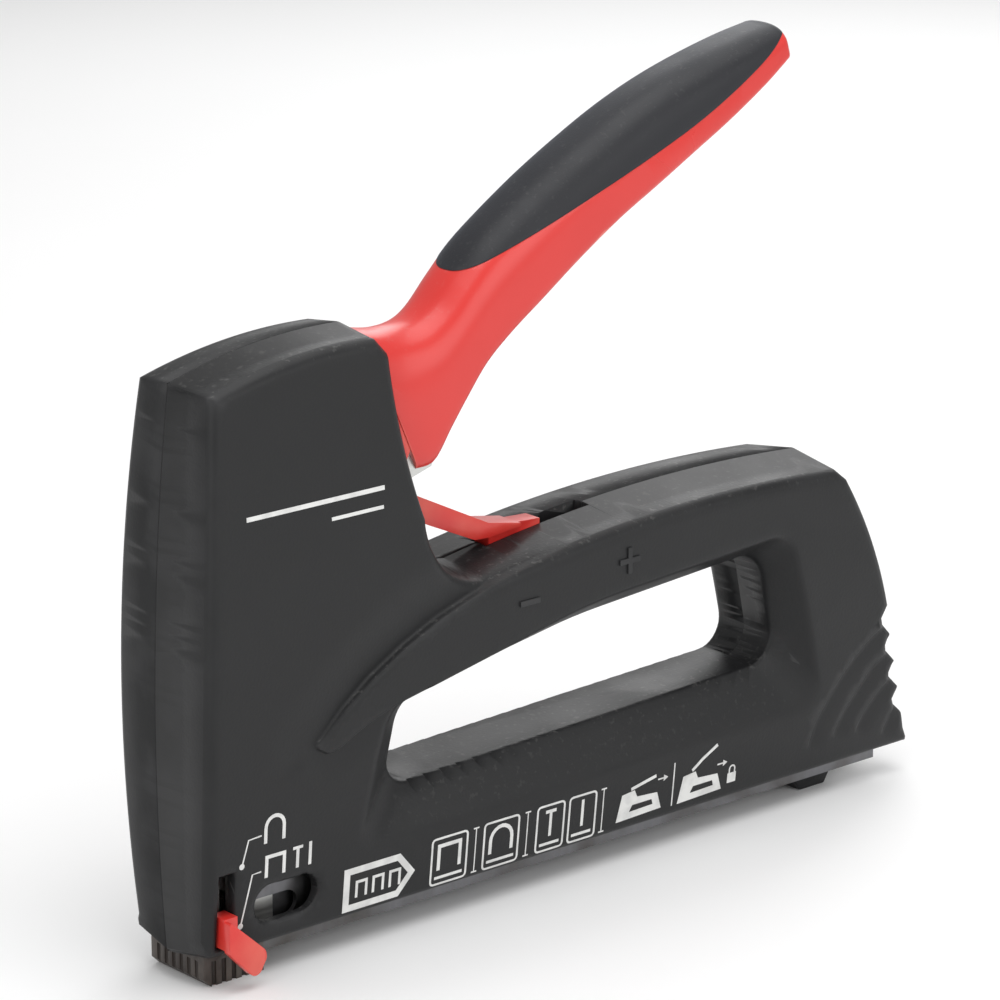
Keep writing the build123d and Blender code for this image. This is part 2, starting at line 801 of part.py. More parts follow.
# ---- power slider: red bar from the head down to its carriage in the grip's slot ----
bar_half = 3.2
with BuildPart() as power_slider:
    with BuildSketch(Plane.XZ):
        with BuildLine():
            Polyline(
                at(48.0, 92.2),
                at(64.7, 83.8),
                at(80.1, 76.2),
                at(88.6, 74.6),
                at(88.6, 73.9),
                at(80.0, 73.2),
                at(76.5, 73.4),
                at(65.1, 78.6),
                at(48.0, 87.2),
                close=True,
            )
        make_face()
    extrude(amount=bar_half, both=True)
    fillet(power_slider.edges().filter_by(Axis.Y).sort_by(Axis.X)[-2:], 0.3)
    with BuildSketch(Plane.XZ):
        with BuildLine():
            Polyline(at(81.0, 75.0), at(94.4, 74.2), at(94.4, 66.2), at(81.0, 65.0), close=True)
        make_face()
    extrude(amount=slider_half, both=True)
    with BuildSketch(Plane.XZ):
        with BuildLine():
            Polyline(at(80.6, 67.2), at(95.0, 68.6), at(95.0, 66.2), at(80.6, 64.8), close=True)
        make_face()
    extrude(amount=4.6, both=True)
save(power_slider.part, "power_slider")

with BuildPart() as slider_detent:
    with BuildSketch(Plane.XZ):
        with BuildLine():
            Polyline(
                at(86.0, 62.6),
                at(98.0, 63.9),
                at(110.0, 65.0),
                at(110.0, 64.3),
                at(98.0, 63.2),
                at(86.0, 61.9),
                close=True,
            )
        make_face()
    extrude(amount=3.0, both=True)
save(slider_detent.part, "slider_detent")

# ---- staple selector: red tab on the left side, with a steel gate in front of the driver ----
tab_inside = 13.4
tab_outside = 15.2
with BuildPart() as selector_tab:
    with BuildSketch(Plane.XZ.offset(tab_inside)):
        with BuildLine():
            FilletPolyline(
                at(5.3, 15.4),
                at(14.6, 6.8),
                at(11.6, 1.9),
                at(5.3, 8.6),
                radius=(0.4, 2.2, 1.6, 0.4),
                close=True,
            )
        make_face()
    extrude(amount=tab_outside - tab_inside)
    with BuildSketch(Plane.XZ.offset(head_cavity_half - 0.1)):
        with Locations(at(5.3, 9.0)):
            Rectangle(3.2, 6.2, align=(Align.MIN, Align.MIN))
    extrude(amount=tab_inside - head_cavity_half + 0.1)
save(selector_tab.part, "selector_tab")

with BuildPart() as selector_gate:
    with BuildSketch(Plane.YZ.offset(4.5 - driver_setback)):
        with Locations((0, nose_top + 0.4)):
            Rectangle(16.4, 11.0, align=(Align.CENTER, Align.MIN))
        with Locations((-8.0, 10.0)):
            Rectangle(1.3, 4.0, align=(Align.MAX, Align.MIN))
    extrude(amount=1.5)
save(selector_gate.part, "selector_gate")
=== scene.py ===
import bpy, bmesh, json
import numpy as np
from math import atan2, ceil, cos, degrees, hypot, pi, radians, sin, sqrt, tan
from mathutils import Matrix, Vector
from mathutils.bvhtree import BVHTree
from mathutils.geometry import delaunay_2d_cdt

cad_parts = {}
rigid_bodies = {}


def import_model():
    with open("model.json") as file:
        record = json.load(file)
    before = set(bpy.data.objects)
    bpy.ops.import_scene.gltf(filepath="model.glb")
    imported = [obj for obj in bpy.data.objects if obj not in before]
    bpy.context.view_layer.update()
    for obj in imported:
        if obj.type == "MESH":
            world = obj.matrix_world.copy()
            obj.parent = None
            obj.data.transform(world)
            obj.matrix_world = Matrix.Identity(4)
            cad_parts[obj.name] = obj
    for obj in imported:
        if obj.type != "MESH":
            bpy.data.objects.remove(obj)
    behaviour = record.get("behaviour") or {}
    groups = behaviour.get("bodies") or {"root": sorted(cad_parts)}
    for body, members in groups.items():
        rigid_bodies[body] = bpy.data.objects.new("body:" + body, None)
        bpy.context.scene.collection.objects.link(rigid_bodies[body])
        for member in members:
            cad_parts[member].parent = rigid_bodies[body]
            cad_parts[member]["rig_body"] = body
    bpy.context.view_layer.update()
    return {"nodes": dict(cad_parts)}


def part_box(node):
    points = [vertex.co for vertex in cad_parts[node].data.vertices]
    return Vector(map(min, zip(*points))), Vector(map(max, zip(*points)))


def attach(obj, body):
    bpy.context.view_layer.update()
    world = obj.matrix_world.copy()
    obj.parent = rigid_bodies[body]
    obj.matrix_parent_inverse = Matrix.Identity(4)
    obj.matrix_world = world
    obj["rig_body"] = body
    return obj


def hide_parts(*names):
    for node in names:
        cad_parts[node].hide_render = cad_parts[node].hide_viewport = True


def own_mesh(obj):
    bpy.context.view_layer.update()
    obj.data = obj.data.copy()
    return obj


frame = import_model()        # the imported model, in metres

mm = 0.001
setback = 9.0            # the driver's line behind the casing's foremost point
nodes = frame["nodes"]
scene = bpy.context.scene
print("frame loaded:", len(nodes), "nodes")


# shader helpers
def newTree(name):
    return bpy.data.node_groups.new(name, "ShaderNodeTree")


def addSocket(tree, name, way, kind, value=None):
    s = tree.interface.new_socket(name=name, in_out=way, socket_type="NodeSocket" + kind)
    if value is not None:
        s.default_value = value
    return s


def put(tree, kind, **settings):
    n = tree.nodes.new(kind)
    for key, value in settings.items():
        setattr(n, key, value)
    return n


def mathNode(tree, what, a, b=None, clamp=False):
    n = put(tree, "ShaderNodeMath", operation=what, use_clamp=clamp)
    for i, x in enumerate((a, b)):
        if x is None:
            continue
        if hasattr(x, "is_output"):
            tree.links.new(x, n.inputs[i])
        else:
            n.inputs[i].default_value = x
    return n.outputs[0]


def remap(tree, value, low, high, toLow=0.0, toHigh=1.0):
    n = put(tree, "ShaderNodeMapRange")
    tree.links.new(value, n.inputs[0])
    for i, x in enumerate((low, high, toLow, toHigh)):
        n.inputs[i + 1].default_value = x
    return n.outputs[0]


# moulded plastic: a fine spark-eroded texture, slow blotches, and a rubbed mask for worn corners
def makeMouldGrain():
    t = newTree("mouldGrain")
    addSocket(t, "Grain Size", "INPUT", "Float", 2200.0)
    addSocket(t, "Blotch Size", "INPUT", "Float", 60.0)
    addSocket(t, "Height", "OUTPUT", "Float")
    addSocket(t, "Blotch", "OUTPUT", "Float")
    addSocket(t, "Rubbed", "OUTPUT", "Float")
    i = put(t, "NodeGroupInput")
    o = put(t, "NodeGroupOutput")
    c = put(t, "ShaderNodeTexCoord").outputs["Object"]
    fine = put(t, "ShaderNodeTexNoise")
    fine.inputs["Detail"].default_value = 3.0
    pits = put(t, "ShaderNodeTexVoronoi")
    slow = put(t, "ShaderNodeTexNoise")
    slow.inputs["Detail"].default_value = 4.0
    for n in (fine, pits, slow):
        t.links.new(c, n.inputs["Vector"])
    t.links.new(i.outputs["Grain Size"], fine.inputs["Scale"])
    t.links.new(i.outputs["Grain Size"], pits.inputs["Scale"])
    t.links.new(i.outputs["Blotch Size"], slow.inputs["Scale"])
    both = mathNode(t, "ADD", mathNode(t, "MULTIPLY", fine.outputs["Fac"], 0.7),
                    mathNode(t, "MULTIPLY", pits.outputs["Distance"], 0.5))
    t.links.new(both, o.inputs["Height"])
    t.links.new(slow.outputs["Fac"], o.inputs["Blotch"])
    sharp = put(t, "ShaderNodeNewGeometry").outputs["Pointiness"]
    edge = remap(t, sharp, 0.515, 0.56)
    worn = mathNode(t, "MULTIPLY", edge, remap(t, slow.outputs["Fac"], 0.42, 0.62))
    t.links.new(worn, o.inputs["Rubbed"])
    return t


# fingertip smears and settled dust, as masks
def makeHandling():
    t = newTree("handling")
    addSocket(t, "Smear Size", "INPUT", "Float", 35.0)
    addSocket(t, "Dust Size", "INPUT", "Float", 900.0)
    addSocket(t, "Smear", "OUTPUT", "Float")
    addSocket(t, "Dust", "OUTPUT", "Float")
    i = put(t, "NodeGroupInput")
    o = put(t, "NodeGroupOutput")
    c = put(t, "ShaderNodeTexCoord").outputs["Object"]
    a = put(t, "ShaderNodeTexNoise")
    a.inputs["Detail"].default_value = 5.0
    a.inputs["Distortion"].default_value = 1.2
    b = put(t, "ShaderNodeTexNoise")
    b.inputs["Detail"].default_value = 2.0
    t.links.new(c, a.inputs["Vector"])
    t.links.new(c, b.inputs["Vector"])
    t.links.new(i.outputs["Smear Size"], a.inputs["Scale"])
    t.links.new(i.outputs["Dust Size"], b.inputs["Scale"])
    t.links.new(remap(t, a.outputs["Fac"], 0.48, 0.66), o.inputs["Smear"])
    up = put(t, "ShaderNodeSeparateXYZ")
    t.links.new(put(t, "ShaderNodeNewGeometry").outputs["Normal"], up.inputs[0])
    facing = remap(t, up.outputs["Z"], 0.2, 1.0)
    specks = remap(t, b.outputs["Fac"], 0.6, 0.72)
    t.links.new(mathNode(t, "MULTIPLY", facing, specks), o.inputs["Dust"])
    return t


# drawn or rolled steel: fine streaks along one axis
def makeSteelStreaks():
    t = newTree("steelStreaks")
    addSocket(t, "Stretch", "INPUT", "Vector", (1.0, 1.0, 1.0))
    addSocket(t, "Scale", "INPUT", "Float", 600.0)
    addSocket(t, "Height", "OUTPUT", "Float")
    addSocket(t, "Tarnish", "OUTPUT", "Float")
    i = put(t, "NodeGroupInput")
    o = put(t, "NodeGroupOutput")
    c = put(t, "ShaderNodeTexCoord").outputs["Object"]
    pull = put(t, "ShaderNodeVectorMath", operation="MULTIPLY")
    t.links.new(c, pull.inputs[0])
    t.links.new(i.outputs["Stretch"], pull.inputs[1])
    a = put(t, "ShaderNodeTexNoise")
    a.inputs["Detail"].default_value = 4.0
    b = put(t, "ShaderNodeTexNoise")
    b.inputs["Scale"].default_value = 90.0
    b.inputs["Detail"].default_value = 5.0
    t.links.new(pull.outputs[0], a.inputs["Vector"])
    t.links.new(i.outputs["Scale"], a.inputs["Scale"])
    t.links.new(c, b.inputs["Vector"])
    t.links.new(a.outputs["Fac"], o.inputs["Height"])
    t.links.new(remap(t, b.outputs["Fac"], 0.4, 0.7), o.inputs["Tarnish"])
    return t


mouldGrain = makeMouldGrain()
handling = makeHandling()
steelStreaks = makeSteelStreaks()


def mixColour(t, mask, a, b):
    n = put(t, "ShaderNodeMix", data_type="RGBA")
    t.links.new(mask, n.inputs["Factor"])
    for s, x in ((n.inputs[6], a), (n.inputs[7], b)):
        if hasattr(x, "is_output"):
            t.links.new(x, s)
        else:
            s.default_value = (*x, 1.0)
    return n.outputs[2]


def startMaterial(name):
    m = bpy.data.materials.new(name)
    m.use_nodes = True
    t = m.node_tree
    return m, t, t.nodes["Principled BSDF"]


def useGroup(t, group, **values):
    g = put(t, "ShaderNodeGroup", node_tree=group)
    for key, value in values.items():
        g.inputs[key].default_value = value
    return g


def bumpOf(t, shader, height, strength, distance):
    b = put(t, "ShaderNodeBump")
    b.inputs["Strength"].default_value = strength
    b.inputs["Distance"].default_value = distance
    t.links.new(height, b.inputs["Height"])
    t.links.new(b.outputs[0], shader.inputs["Normal"])


def plastic(name, look):
    m, t, s = startMaterial(name)
    g = useGroup(t, mouldGrain, **{"Grain Size": look["grain"], "Blotch Size": look["blotch"]})
    h = useGroup(t, handling, **{"Smear Size": look["smear"], "Dust Size": look["dust"]})
    tint = mixColour(t, g.outputs["Blotch"], look["colour"], look["shade"])
    tint = mixColour(t, mathNode(t, "MULTIPLY", g.outputs["Rubbed"], look["rub"]), tint, look["worn"])
    tint = mixColour(t, mathNode(t, "MULTIPLY", h.outputs["Dust"], look["dusty"]), tint, (0.45, 0.44, 0.42))
    t.links.new(tint, s.inputs["Base Color"])
    rough = remap(t, g.outputs["Blotch"], 0.3, 0.7, look["rough"] - 0.04, look["rough"] + 0.05)
    rough = mathNode(t, "SUBTRACT", rough, mathNode(t, "MULTIPLY", h.outputs["Smear"], look["smearGloss"]))
    t.links.new(rough, s.inputs["Roughness"])
    s.inputs["Specular IOR Level"].default_value = look["specular"]
    s.inputs["Coat Weight"].default_value = look["coat"]
    s.inputs["Coat Roughness"].default_value = look["coatRough"]
    bumpOf(t, s, g.outputs["Height"], look["bump"], look["bumpDepth"])
    return m


def steel(name, look):
    m, t, s = startMaterial(name)
    g = useGroup(t, steelStreaks, **{"Stretch": look["stretch"], "Scale": look["scale"]})
    tint = mixColour(t, g.outputs["Tarnish"], look["colour"], look["tarnish"])
    t.links.new(tint, s.inputs["Base Color"])
    s.inputs["Metallic"].default_value = 1.0
    t.links.new(remap(t, g.outputs["Height"], 0.3, 0.7, look["rough"] - 0.07, look["rough"] + 0.09),
                s.inputs["Roughness"])
    bumpOf(t, s, g.outputs["Height"], look["bump"], 0.00006)
    return m


blackLook = dict(colour=(0.010, 0.0102, 0.0108), shade=(0.015, 0.0152, 0.016), worn=(0.05, 0.05, 0.052),
                 grain=1500.0, blotch=55.0, smear=30.0, dust=850.0, rub=0.45, dusty=0.10,
                 rough=0.46, smearGloss=0.05, specular=0.32, coat=0.0, coatRough=0.3,
                 bump=0.35, bumpDepth=0.00009)
redLook = dict(colour=(0.72, 0.035, 0.028), shade=(0.62, 0.026, 0.020), worn=(0.86, 0.20, 0.14),
               grain=2600.0, blotch=45.0, smear=40.0, dust=900.0, rub=0.4, dusty=0.06,
               rough=0.34, smearGloss=0.06, specular=0.5, coat=0.25, coatRough=0.22,
               bump=0.12, bumpDepth=0.00005)
gripLook = dict(colour=(0.012, 0.0125, 0.015), shade=(0.018, 0.0185, 0.022), worn=(0.055, 0.056, 0.06),
                grain=3200.0, blotch=70.0, smear=38.0, dust=1100.0, rub=0.3, dusty=0.05,
                rough=0.52, smearGloss=0.07, specular=0.36, coat=0.06, coatRough=0.5,
                bump=0.4, bumpDepth=0.00007)
noseLook = dict(colour=(0.030, 0.020, 0.015), shade=(0.022, 0.016, 0.013), worn=(0.12, 0.10, 0.085),
                grain=1800.0, blotch=90.0, smear=30.0, dust=700.0, rub=0.7, dusty=0.2,
                rough=0.42, smearGloss=0.05, specular=0.5, coat=0.0, coatRough=0.3,
                bump=0.3, bumpDepth=0.00008)
bumperLook = dict(colour=(0.03, 0.03, 0.032), shade=(0.045, 0.044, 0.044), worn=(0.09, 0.09, 0.09),
                  grain=900.0, blotch=80.0, smear=30.0, dust=700.0, rub=0.5, dusty=0.3,
                  rough=0.78, smearGloss=0.04, specular=0.35, coat=0.0, coatRough=0.5,
                  bump=0.5, bumpDepth=0.0001)
printLook = dict(colour=(0.78, 0.78, 0.76), shade=(0.70, 0.70, 0.69), worn=(0.4, 0.4, 0.4),
                 grain=4000.0, blotch=300.0, smear=60.0, dust=2000.0, rub=0.3, dusty=0.0,
                 rough=0.5, smearGloss=0.04, specular=0.4, coat=0.0, coatRough=0.5,
                 bump=0.15, bumpDepth=0.00003)
blackPlastic = plastic("blackPlastic", blackLook)
redPlastic = plastic("redPlastic", redLook)
softGrip = plastic("softGrip", gripLook)
softGripNodes = softGrip.node_tree
softGripNodes.nodes["Principled BSDF"].inputs["Sheen Weight"].default_value = 0.06
softGripNodes.nodes["Principled BSDF"].inputs["Sheen Roughness"].default_value = 0.45
softGripNodes.nodes["Principled BSDF"].inputs["Sheen Tint"].default_value = (0.55, 0.66, 1.0, 1.0)
noseSteel = plastic("nosePaint", noseLook)
bumperRubber = plastic("bumperRubber", bumperLook)
whitePrint = plastic("whitePrint", printLook)

platedSteel = steel("platedSteel", dict(colour=(0.62, 0.62, 0.60), tarnish=(0.42, 0.41, 0.39),
                                        stretch=(0.06, 1.0, 1.0), scale=900.0, rough=0.34, bump=0.18))
darkSteel = steel("darkSteel", dict(colour=(0.20, 0.20, 0.21), tarnish=(0.11, 0.105, 0.10),
                                    stretch=(1.0, 1.0, 0.08), scale=800.0, rough=0.42, bump=0.2))
springSteel = steel("springSteel", dict(colour=(0.33, 0.33, 0.345), tarnish=(0.20, 0.19, 0.18),
                                        stretch=(1.0, 1.0, 1.0), scale=1200.0, rough=0.3, bump=0.1))
zincSteel = steel("zincSteel", dict(colour=(0.50, 0.49, 0.45), tarnish=(0.30, 0.29, 0.26),
                                    stretch=(1.0, 1.0, 1.0), scale=1500.0, rough=0.32, bump=0.22))
finishOf = {
    "casing_black": blackPlastic, "red_plastic": redPlastic, "grip_rubber": softGrip,
    "plated_steel": platedSteel, "dark_steel": darkSteel, "spring_steel": springSteel,
    "bumper_rubber": bumperRubber, "screw_zinc": zincSteel,
}
nodeFinish = dict(
    casing_left="casing_black", casing_right="casing_black", casing_screws="screw_zinc",
    nose_block="dark_steel", front_plate="plated_steel", driver_guide="plated_steel",
    guide_rivets="plated_steel", stop_bumper="bumper_rubber", driver_blade="dark_steel",
    driver_block="dark_steel", lift_stirrup="plated_steel", mainspring="spring_steel",
    spring_seat="plated_steel", magazine_channel="dark_steel", magazine_rail="dark_steel",
    magazine_tab="casing_black", staple_pusher="plated_steel", pusher_rod="plated_steel",
    pusher_spring="spring_steel", lever_grip="grip_rubber", lever_body="red_plastic",
    lever_core="plated_steel", lift_pins="dark_steel", pivot_pin="plated_steel",
    lever_spring="spring_steel", power_slider="red_plastic", slider_detent="spring_steel",
    selector_tab="red_plastic", selector_gate="plated_steel",
)


def dress(obj, material):
    obj.data.materials.clear()
    obj.data.materials.append(material)
    return obj


for name, obj in nodes.items():
    dress(obj, finishOf[nodeFinish[name]])
dress(nodes["nose_block"], noseSteel)
print("finishes made")


# mesh helpers
def newMesh(name, verts, faces, material):
    me = bpy.data.meshes.new(name)
    me.from_pydata([tuple(v) for v in verts], [], faces)
    me.validate()
    o = bpy.data.objects.new(name, me)
    scene.collection.objects.link(o)
    me.materials.append(material)
    return o


def tidyMesh(obj, merge=1e-6):
    bm = bmesh.new()
    bm.from_mesh(obj.data)
    bmesh.ops.remove_doubles(bm, verts=bm.verts, dist=merge)
    bmesh.ops.recalc_face_normals(bm, faces=bm.faces)
    bm.to_mesh(obj.data)
    bm.free()


def smoothByAngle(obj, angle=35):
    obj.data.polygons.foreach_set("use_smooth", [True] * len(obj.data.polygons))
    obj.data.set_sharp_from_angle(angle=radians(angle))
    obj.data.update()


def settle(obj):
    # bake the modifiers into a plain mesh
    bpy.context.view_layer.update()
    graph = bpy.context.evaluated_depsgraph_get()
    fresh = bpy.data.meshes.new_from_object(obj.evaluated_get(graph))
    old = obj.data
    obj.modifiers.clear()
    obj.data = fresh
    bpy.data.meshes.remove(old)
    return obj


def copyOf(node, name):
    # a merged, editable copy of a CAD node
    o = bpy.data.objects.new(name, nodes[node].data.copy())
    scene.collection.objects.link(o)
    bm = bmesh.new()
    bm.from_mesh(o.data)
    bmesh.ops.remove_doubles(bm, verts=bm.verts, dist=2e-6)
    bmesh.ops.dissolve_degenerate(bm, edges=bm.edges, dist=1e-6)
    bm.to_mesh(o.data)
    bm.free()
    return o


def roundedCopy(node, name, material, width, angle=32, segments=2):
    # the node's own shape with its hard edges eased
    o = copyOf(node, name)
    dress(o, material)
    bm = bmesh.new()
    bm.from_mesh(o.data)
    bmesh.ops.dissolve_limit(bm, angle_limit=radians(1.2), verts=bm.verts, edges=bm.edges)
    bm.to_mesh(o.data)
    bm.free()
    b = o.modifiers.new("ease", "BEVEL")
    b.width = width
    b.segments = segments
    b.limit_method = "ANGLE"
    b.angle_limit = radians(angle)
    b.use_clamp_overlap = True
    settle(o)
    smoothByAngle(o, 40)
    return o


def place(obj, body, slotName, *standsFor):
    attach(obj, body)
    if standsFor:
        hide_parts(*standsFor)
    return obj


# casing: each half's outer skin is a height over the side view
# points are (distance behind the foremost point, height above the floor), in mm
casingLook = dict(
    draft=8.0, edge=2.3, bottomEdge=1.2, skin=0.14, gridStep=1.5,
    widest=14.7, widestAt=64.0, narrow=11.4, narrowReach=56.0,
    stepDepth=1.7, tipDepth=0.9, lowerStep=0.75, dishReach=13.0, scaleStep=0.45, scaleReach=5.0,
    rimWidth=0.8, rimDepth=0.7,
)
stepLine = [(27.8, 44.8), (29.7, 46.2), (34.7, 50.6), (41.3, 55.2), (49.7, 60.0), (58.0, 63.7), (66.0, 66.3),
            (72.0, 67.9), (78.0, 69.1), (84.0, 70.1), (92.0, 71.6)]
underLine = [(28.3, 43.9), (30.5, 42.6), (33.5, 43.0), (38.0, 45.3), (43.0, 47.3), (49.5, 49.2), (56.0, 50.6)]
scaleLines = [
    [(183.0, 36.3), (177.5, 33.6), (173.0, 30.2), (169.4, 26.4), (166.3, 22.6), (163.0, 17.6), (161.2, 12.0)],
    [(184.6, 30.0), (178.8, 27.0), (175.0, 22.8), (171.3, 18.3), (168.4, 13.2)],
    [(186.2, 24.2), (180.6, 20.0), (177.5, 16.6), (175.2, 12.6)],
    [(188.6, 17.4), (185.6, 14.2), (183.4, 10.2)],
]
windowShape = (21.8, 14.95, 15.4, 7.9)      # centre, length and height of the staple window
slotShape = (4.9, 8.5, 8.8, 23.7)           # the selector's slot


def circleThrough(a, b, c):
    (ax, ay), (bx, by), (cx, cy) = a, b, c
    d = 2 * (ax * (by - cy) + bx * (cy - ay) + cx * (ay - by))
    ux = ((ax**2 + ay**2) * (by - cy) + (bx**2 + by**2) * (cy - ay) + (cx**2 + cy**2) * (ay - by)) / d
    uy = ((ax**2 + ay**2) * (cx - bx) + (bx**2 + by**2) * (ax - cx) + (cx**2 + cy**2) * (bx - ax)) / d
    return ux, uy, hypot(ax - ux, ay - uy)


def arcThrough(a, b, c, step=1.2):
    ux, uy, r = circleThrough(a, b, c)
    t0, t1, t2 = (atan2(p[1] - uy, p[0] - ux) for p in (a, b, c))
    turn = lambda t: (t - t0 + pi) % (2 * pi) - pi
    sweep = turn(t2)
    if turn(t1) * sweep < 0:
        sweep -= 2 * pi if sweep > 0 else -2 * pi
    n = max(2, ceil(abs(sweep) * r / step))
    return [(ux + r * cos(t0 + sweep * k / n), uy + r * sin(t0 + sweep * k / n)) for k in range(n + 1)]


def straight(a, b, step=1.2):
    n = max(1, ceil(hypot(b[0] - a[0], b[1] - a[1]) / step))
    return [(a[0] + (b[0] - a[0]) * k / n, a[1] + (b[1] - a[1]) * k / n) for k in range(n + 1)]


def crossing(a, b, c, d):
    # where line ab meets line cd
    rx, ry, sx, sy = b[0] - a[0], b[1] - a[1], d[0] - c[0], d[1] - c[1]
    t = ((c[0] - a[0]) * sy - (c[1] - a[1]) * sx) / (rx * sy - ry * sx)
    return a[0] + rx * t, a[1] + ry * t


def casingOutline():
    runs = [
        arcThrough((1.5, 5.3), (0, 50), (4.6, 117.4)),
        arcThrough((4.6, 117.4), (23, 121.5), (46.5, 122.4)),
        straight((46.5, 122.4), (50.5, 117.9)),
        arcThrough((50.5, 117.9), (52.2, 104), (57.6, 84.5)),
        arcThrough((57.6, 84.5), (61.0, 75.5), (71, 70.3)),
        arcThrough((71, 70.3), (120, 75.6), (167, 74.8)),
        straight((167, 74.8), (171, 71.6)),
        arcThrough((171, 71.6), (179.3, 56.5), (185.4, 39.5)),
    ]
    top, foot = (185.4, 39.5), (194.4, 5.3)
    last = top
    for k in range(4):
        inner = (183.6 + 1.7 * k, 37.2 - 6.5 * k)
        upper = crossing(inner, (188.0 + 1.9 * k, 41.0 - 6.4 * k), top, foot)
        lower = crossing(inner, (187.6 + 1.9 * k, 32.6 - 6.4 * k), top, foot)
        if k:
            runs.append(straight(last, upper, 0.8))
        else:
            runs[-1] = [p for p in runs[-1] if p[1] > upper[1]]
        runs.append(straight(upper, inner, 0.6))
        runs.append(straight(inner, lower, 0.8))
        last = lower
    runs.append(straight(last, foot))
    runs.append(straight(foot, (1.5, 5.3)))
    outline = []
    for run in runs:
        for p in run:
            if not outline or hypot(p[0] - outline[-1][0], p[1] - outline[-1][1]) > 0.15:
                outline.append(p)
    (x0, z0), (x1, z1) = outline[0], outline[-1]
    return outline[:-1] if hypot(x0 - x1, z0 - z1) < 0.3 else outline


def roundedPoly(corners, radii, perCorner=9, perSide=22):
    # the same number of points whatever its size, so that two of them match point for point
    n = len(corners)
    starts, ends, arcs = [], [], []
    for i in range(n):
        p = Vector(corners[i])
        a = (Vector(corners[i - 1]) - p).normalized()
        b = (Vector(corners[(i + 1) % n]) - p).normalized()
        half = a.angle(b) / 2
        reach = radii[i] / tan(half)
        s, e = p + a * reach, p + b * reach
        centre = p + (a + b).normalized() * (radii[i] / sin(half))
        t0 = atan2(s.y - centre.y, s.x - centre.x)
        turn = (atan2(e.y - centre.y, e.x - centre.x) - t0 + pi) % (2 * pi) - pi
        arcs.append([(centre.x + radii[i] * cos(t0 + turn * k / perCorner),
                      centre.y + radii[i] * sin(t0 + turn * k / perCorner)) for k in range(perCorner + 1)])
    out = []
    for i in range(n):
        out += arcs[i]
        a, b = arcs[i][-1], arcs[(i + 1) % n][0]
        step = ((b[0] - a[0]) / perSide, (b[1] - a[1]) / perSide)
        out += [(a[0] + step[0] * k, a[1] + step[1] * k) for k in range(1, perSide)]
    return np.array(out)


def halfWidth(height):
    c = casingLook
    drop = c["widest"] - c["narrow"]
    r = (c["narrowReach"] ** 2 + drop**2) / (2 * drop)
    return c["widest"] - (r - np.sqrt(r**2 - (height - c["widestAt"]) ** 2))


def nearest(points, line):
    # distance to a line of points, the place along it, and the side (left is positive)
    best = np.full(len(points), 1e9)
    along = np.zeros(len(points))
    side = np.zeros(len(points))
    run = 0.0
    for a, b in zip(line[:-1], line[1:]):
        a, b = np.array(a, float), np.array(b, float)
        d = b - a
        size = np.hypot(*d)
        t = np.clip(((points - a) @ d) / size**2, 0, 1)
        away = points - (a + t[:, None] * d)
        dist = np.hypot(away[:, 0], away[:, 1])
        closer = dist < best
        best[closer] = dist[closer]
        along[closer] = (run + t * size)[closer]
        side[closer] = np.sign(d[0] * away[:, 1] - d[1] * away[:, 0])[closer]
        run += size
    return best, along, side


def ease(a, b, x):
    t = np.clip((x - a) / (b - a), 0, 1)
    return t * t * (3 - 2 * t)


def insidePoly(points, poly):
    x, y = points[:, 0], points[:, 1]
    inside = np.zeros(len(points), bool)
    for (ax, ay), (bx, by) in zip(poly, list(poly[1:]) + [poly[0]]):
        if ay == by:
            continue
        hit = ((ay > y) != (by > y)) & (x < (bx - ax) * (y - ay) / (by - ay) + ax)
        inside ^= hit
    return inside


loopRadii = (5, 6, 7, 150, 7)
loopLand = roundedPoly([(48.5, 29.6), (154.8, 33.0), (149.8, 57.5), (98, 54.05), (53.0, 47.0)], loopRadii)
loopSide = roundedPoly([(34.7, 15.6), (167.2, 17.5), (152.8, 62.5), (98, 59.05), (44.5, 48.2)], loopRadii)


def makeBevelTree():
    rows = [-0.06, 0.0, 0.25, 0.5, 0.75, 1.0, 1.12]
    n = len(loopLand)
    verts, faces = [], []
    for t in rows:
        for p in loopLand * (1 - t) + loopSide * t:
            verts.append((p[0], p[1], 8.0 + 6.7 * t))
    for r in range(len(rows) - 1):
        for k in range(n):
            faces.append((r * n + k, r * n + (k + 1) % n, (r + 1) * n + (k + 1) % n, (r + 1) * n + k))
    return BVHTree.FromPolygons(verts, faces)


bevelTree = makeBevelTree()


def softMin(a, b, k):
    h = np.clip(0.5 + 0.5 * (b - a) / k, 0, 1)
    return b * (1 - h) + a * h - k * h * (1 - h)


def sunken(points):
    # how far the skin is stepped and dished below the plain barrel
    c = casingLook
    line = list(reversed(underLine)) + stepLine
    amounts = [c["lowerStep"]] * len(underLine) + [c["stepDepth"]] * len(stepLine)
    tip = len(underLine)
    for k, share in ((tip - 1, 0.0), (tip, 0.0), (tip + 1, 0.15), (tip + 2, 0.6)):
        amounts[k] = c["tipDepth"] + share * (c["stepDepth"] - c["tipDepth"])
    dist, along, side = nearest(points, line)
    runs = [hypot(b[0] - a[0], b[1] - a[1]) for a, b in zip(line[:-1], line[1:])]
    places = np.concatenate([[0], np.cumsum(runs)])
    amount = np.interp(along, places, amounts)
    blade = stepLine + [(180, 84), (180, 44), (62, 44)] + list(reversed(underLine))
    s = np.where(insidePoly(points, blade), -dist, dist)
    reach = np.interp(along, places, [6.0] * len(underLine) + [c["dishReach"]] * len(stepLine))
    depth = amount * ease(-0.35, 0.3, s) * (1 - ease(0, 1, s / reach))
    for line in scaleLines:
        dist, along, side = nearest(points, line)
        size = sum(hypot(b[0] - a[0], b[1] - a[1]) for a, b in zip(line[:-1], line[1:]))
        s = dist * side
        fade = ease(0, 2.0, size - along) * ease(0, 0.5, along)
        depth += c["scaleStep"] * fade * ease(-0.3, 0.3, s) * (1 - ease(0, c["scaleReach"], s))
    return depth


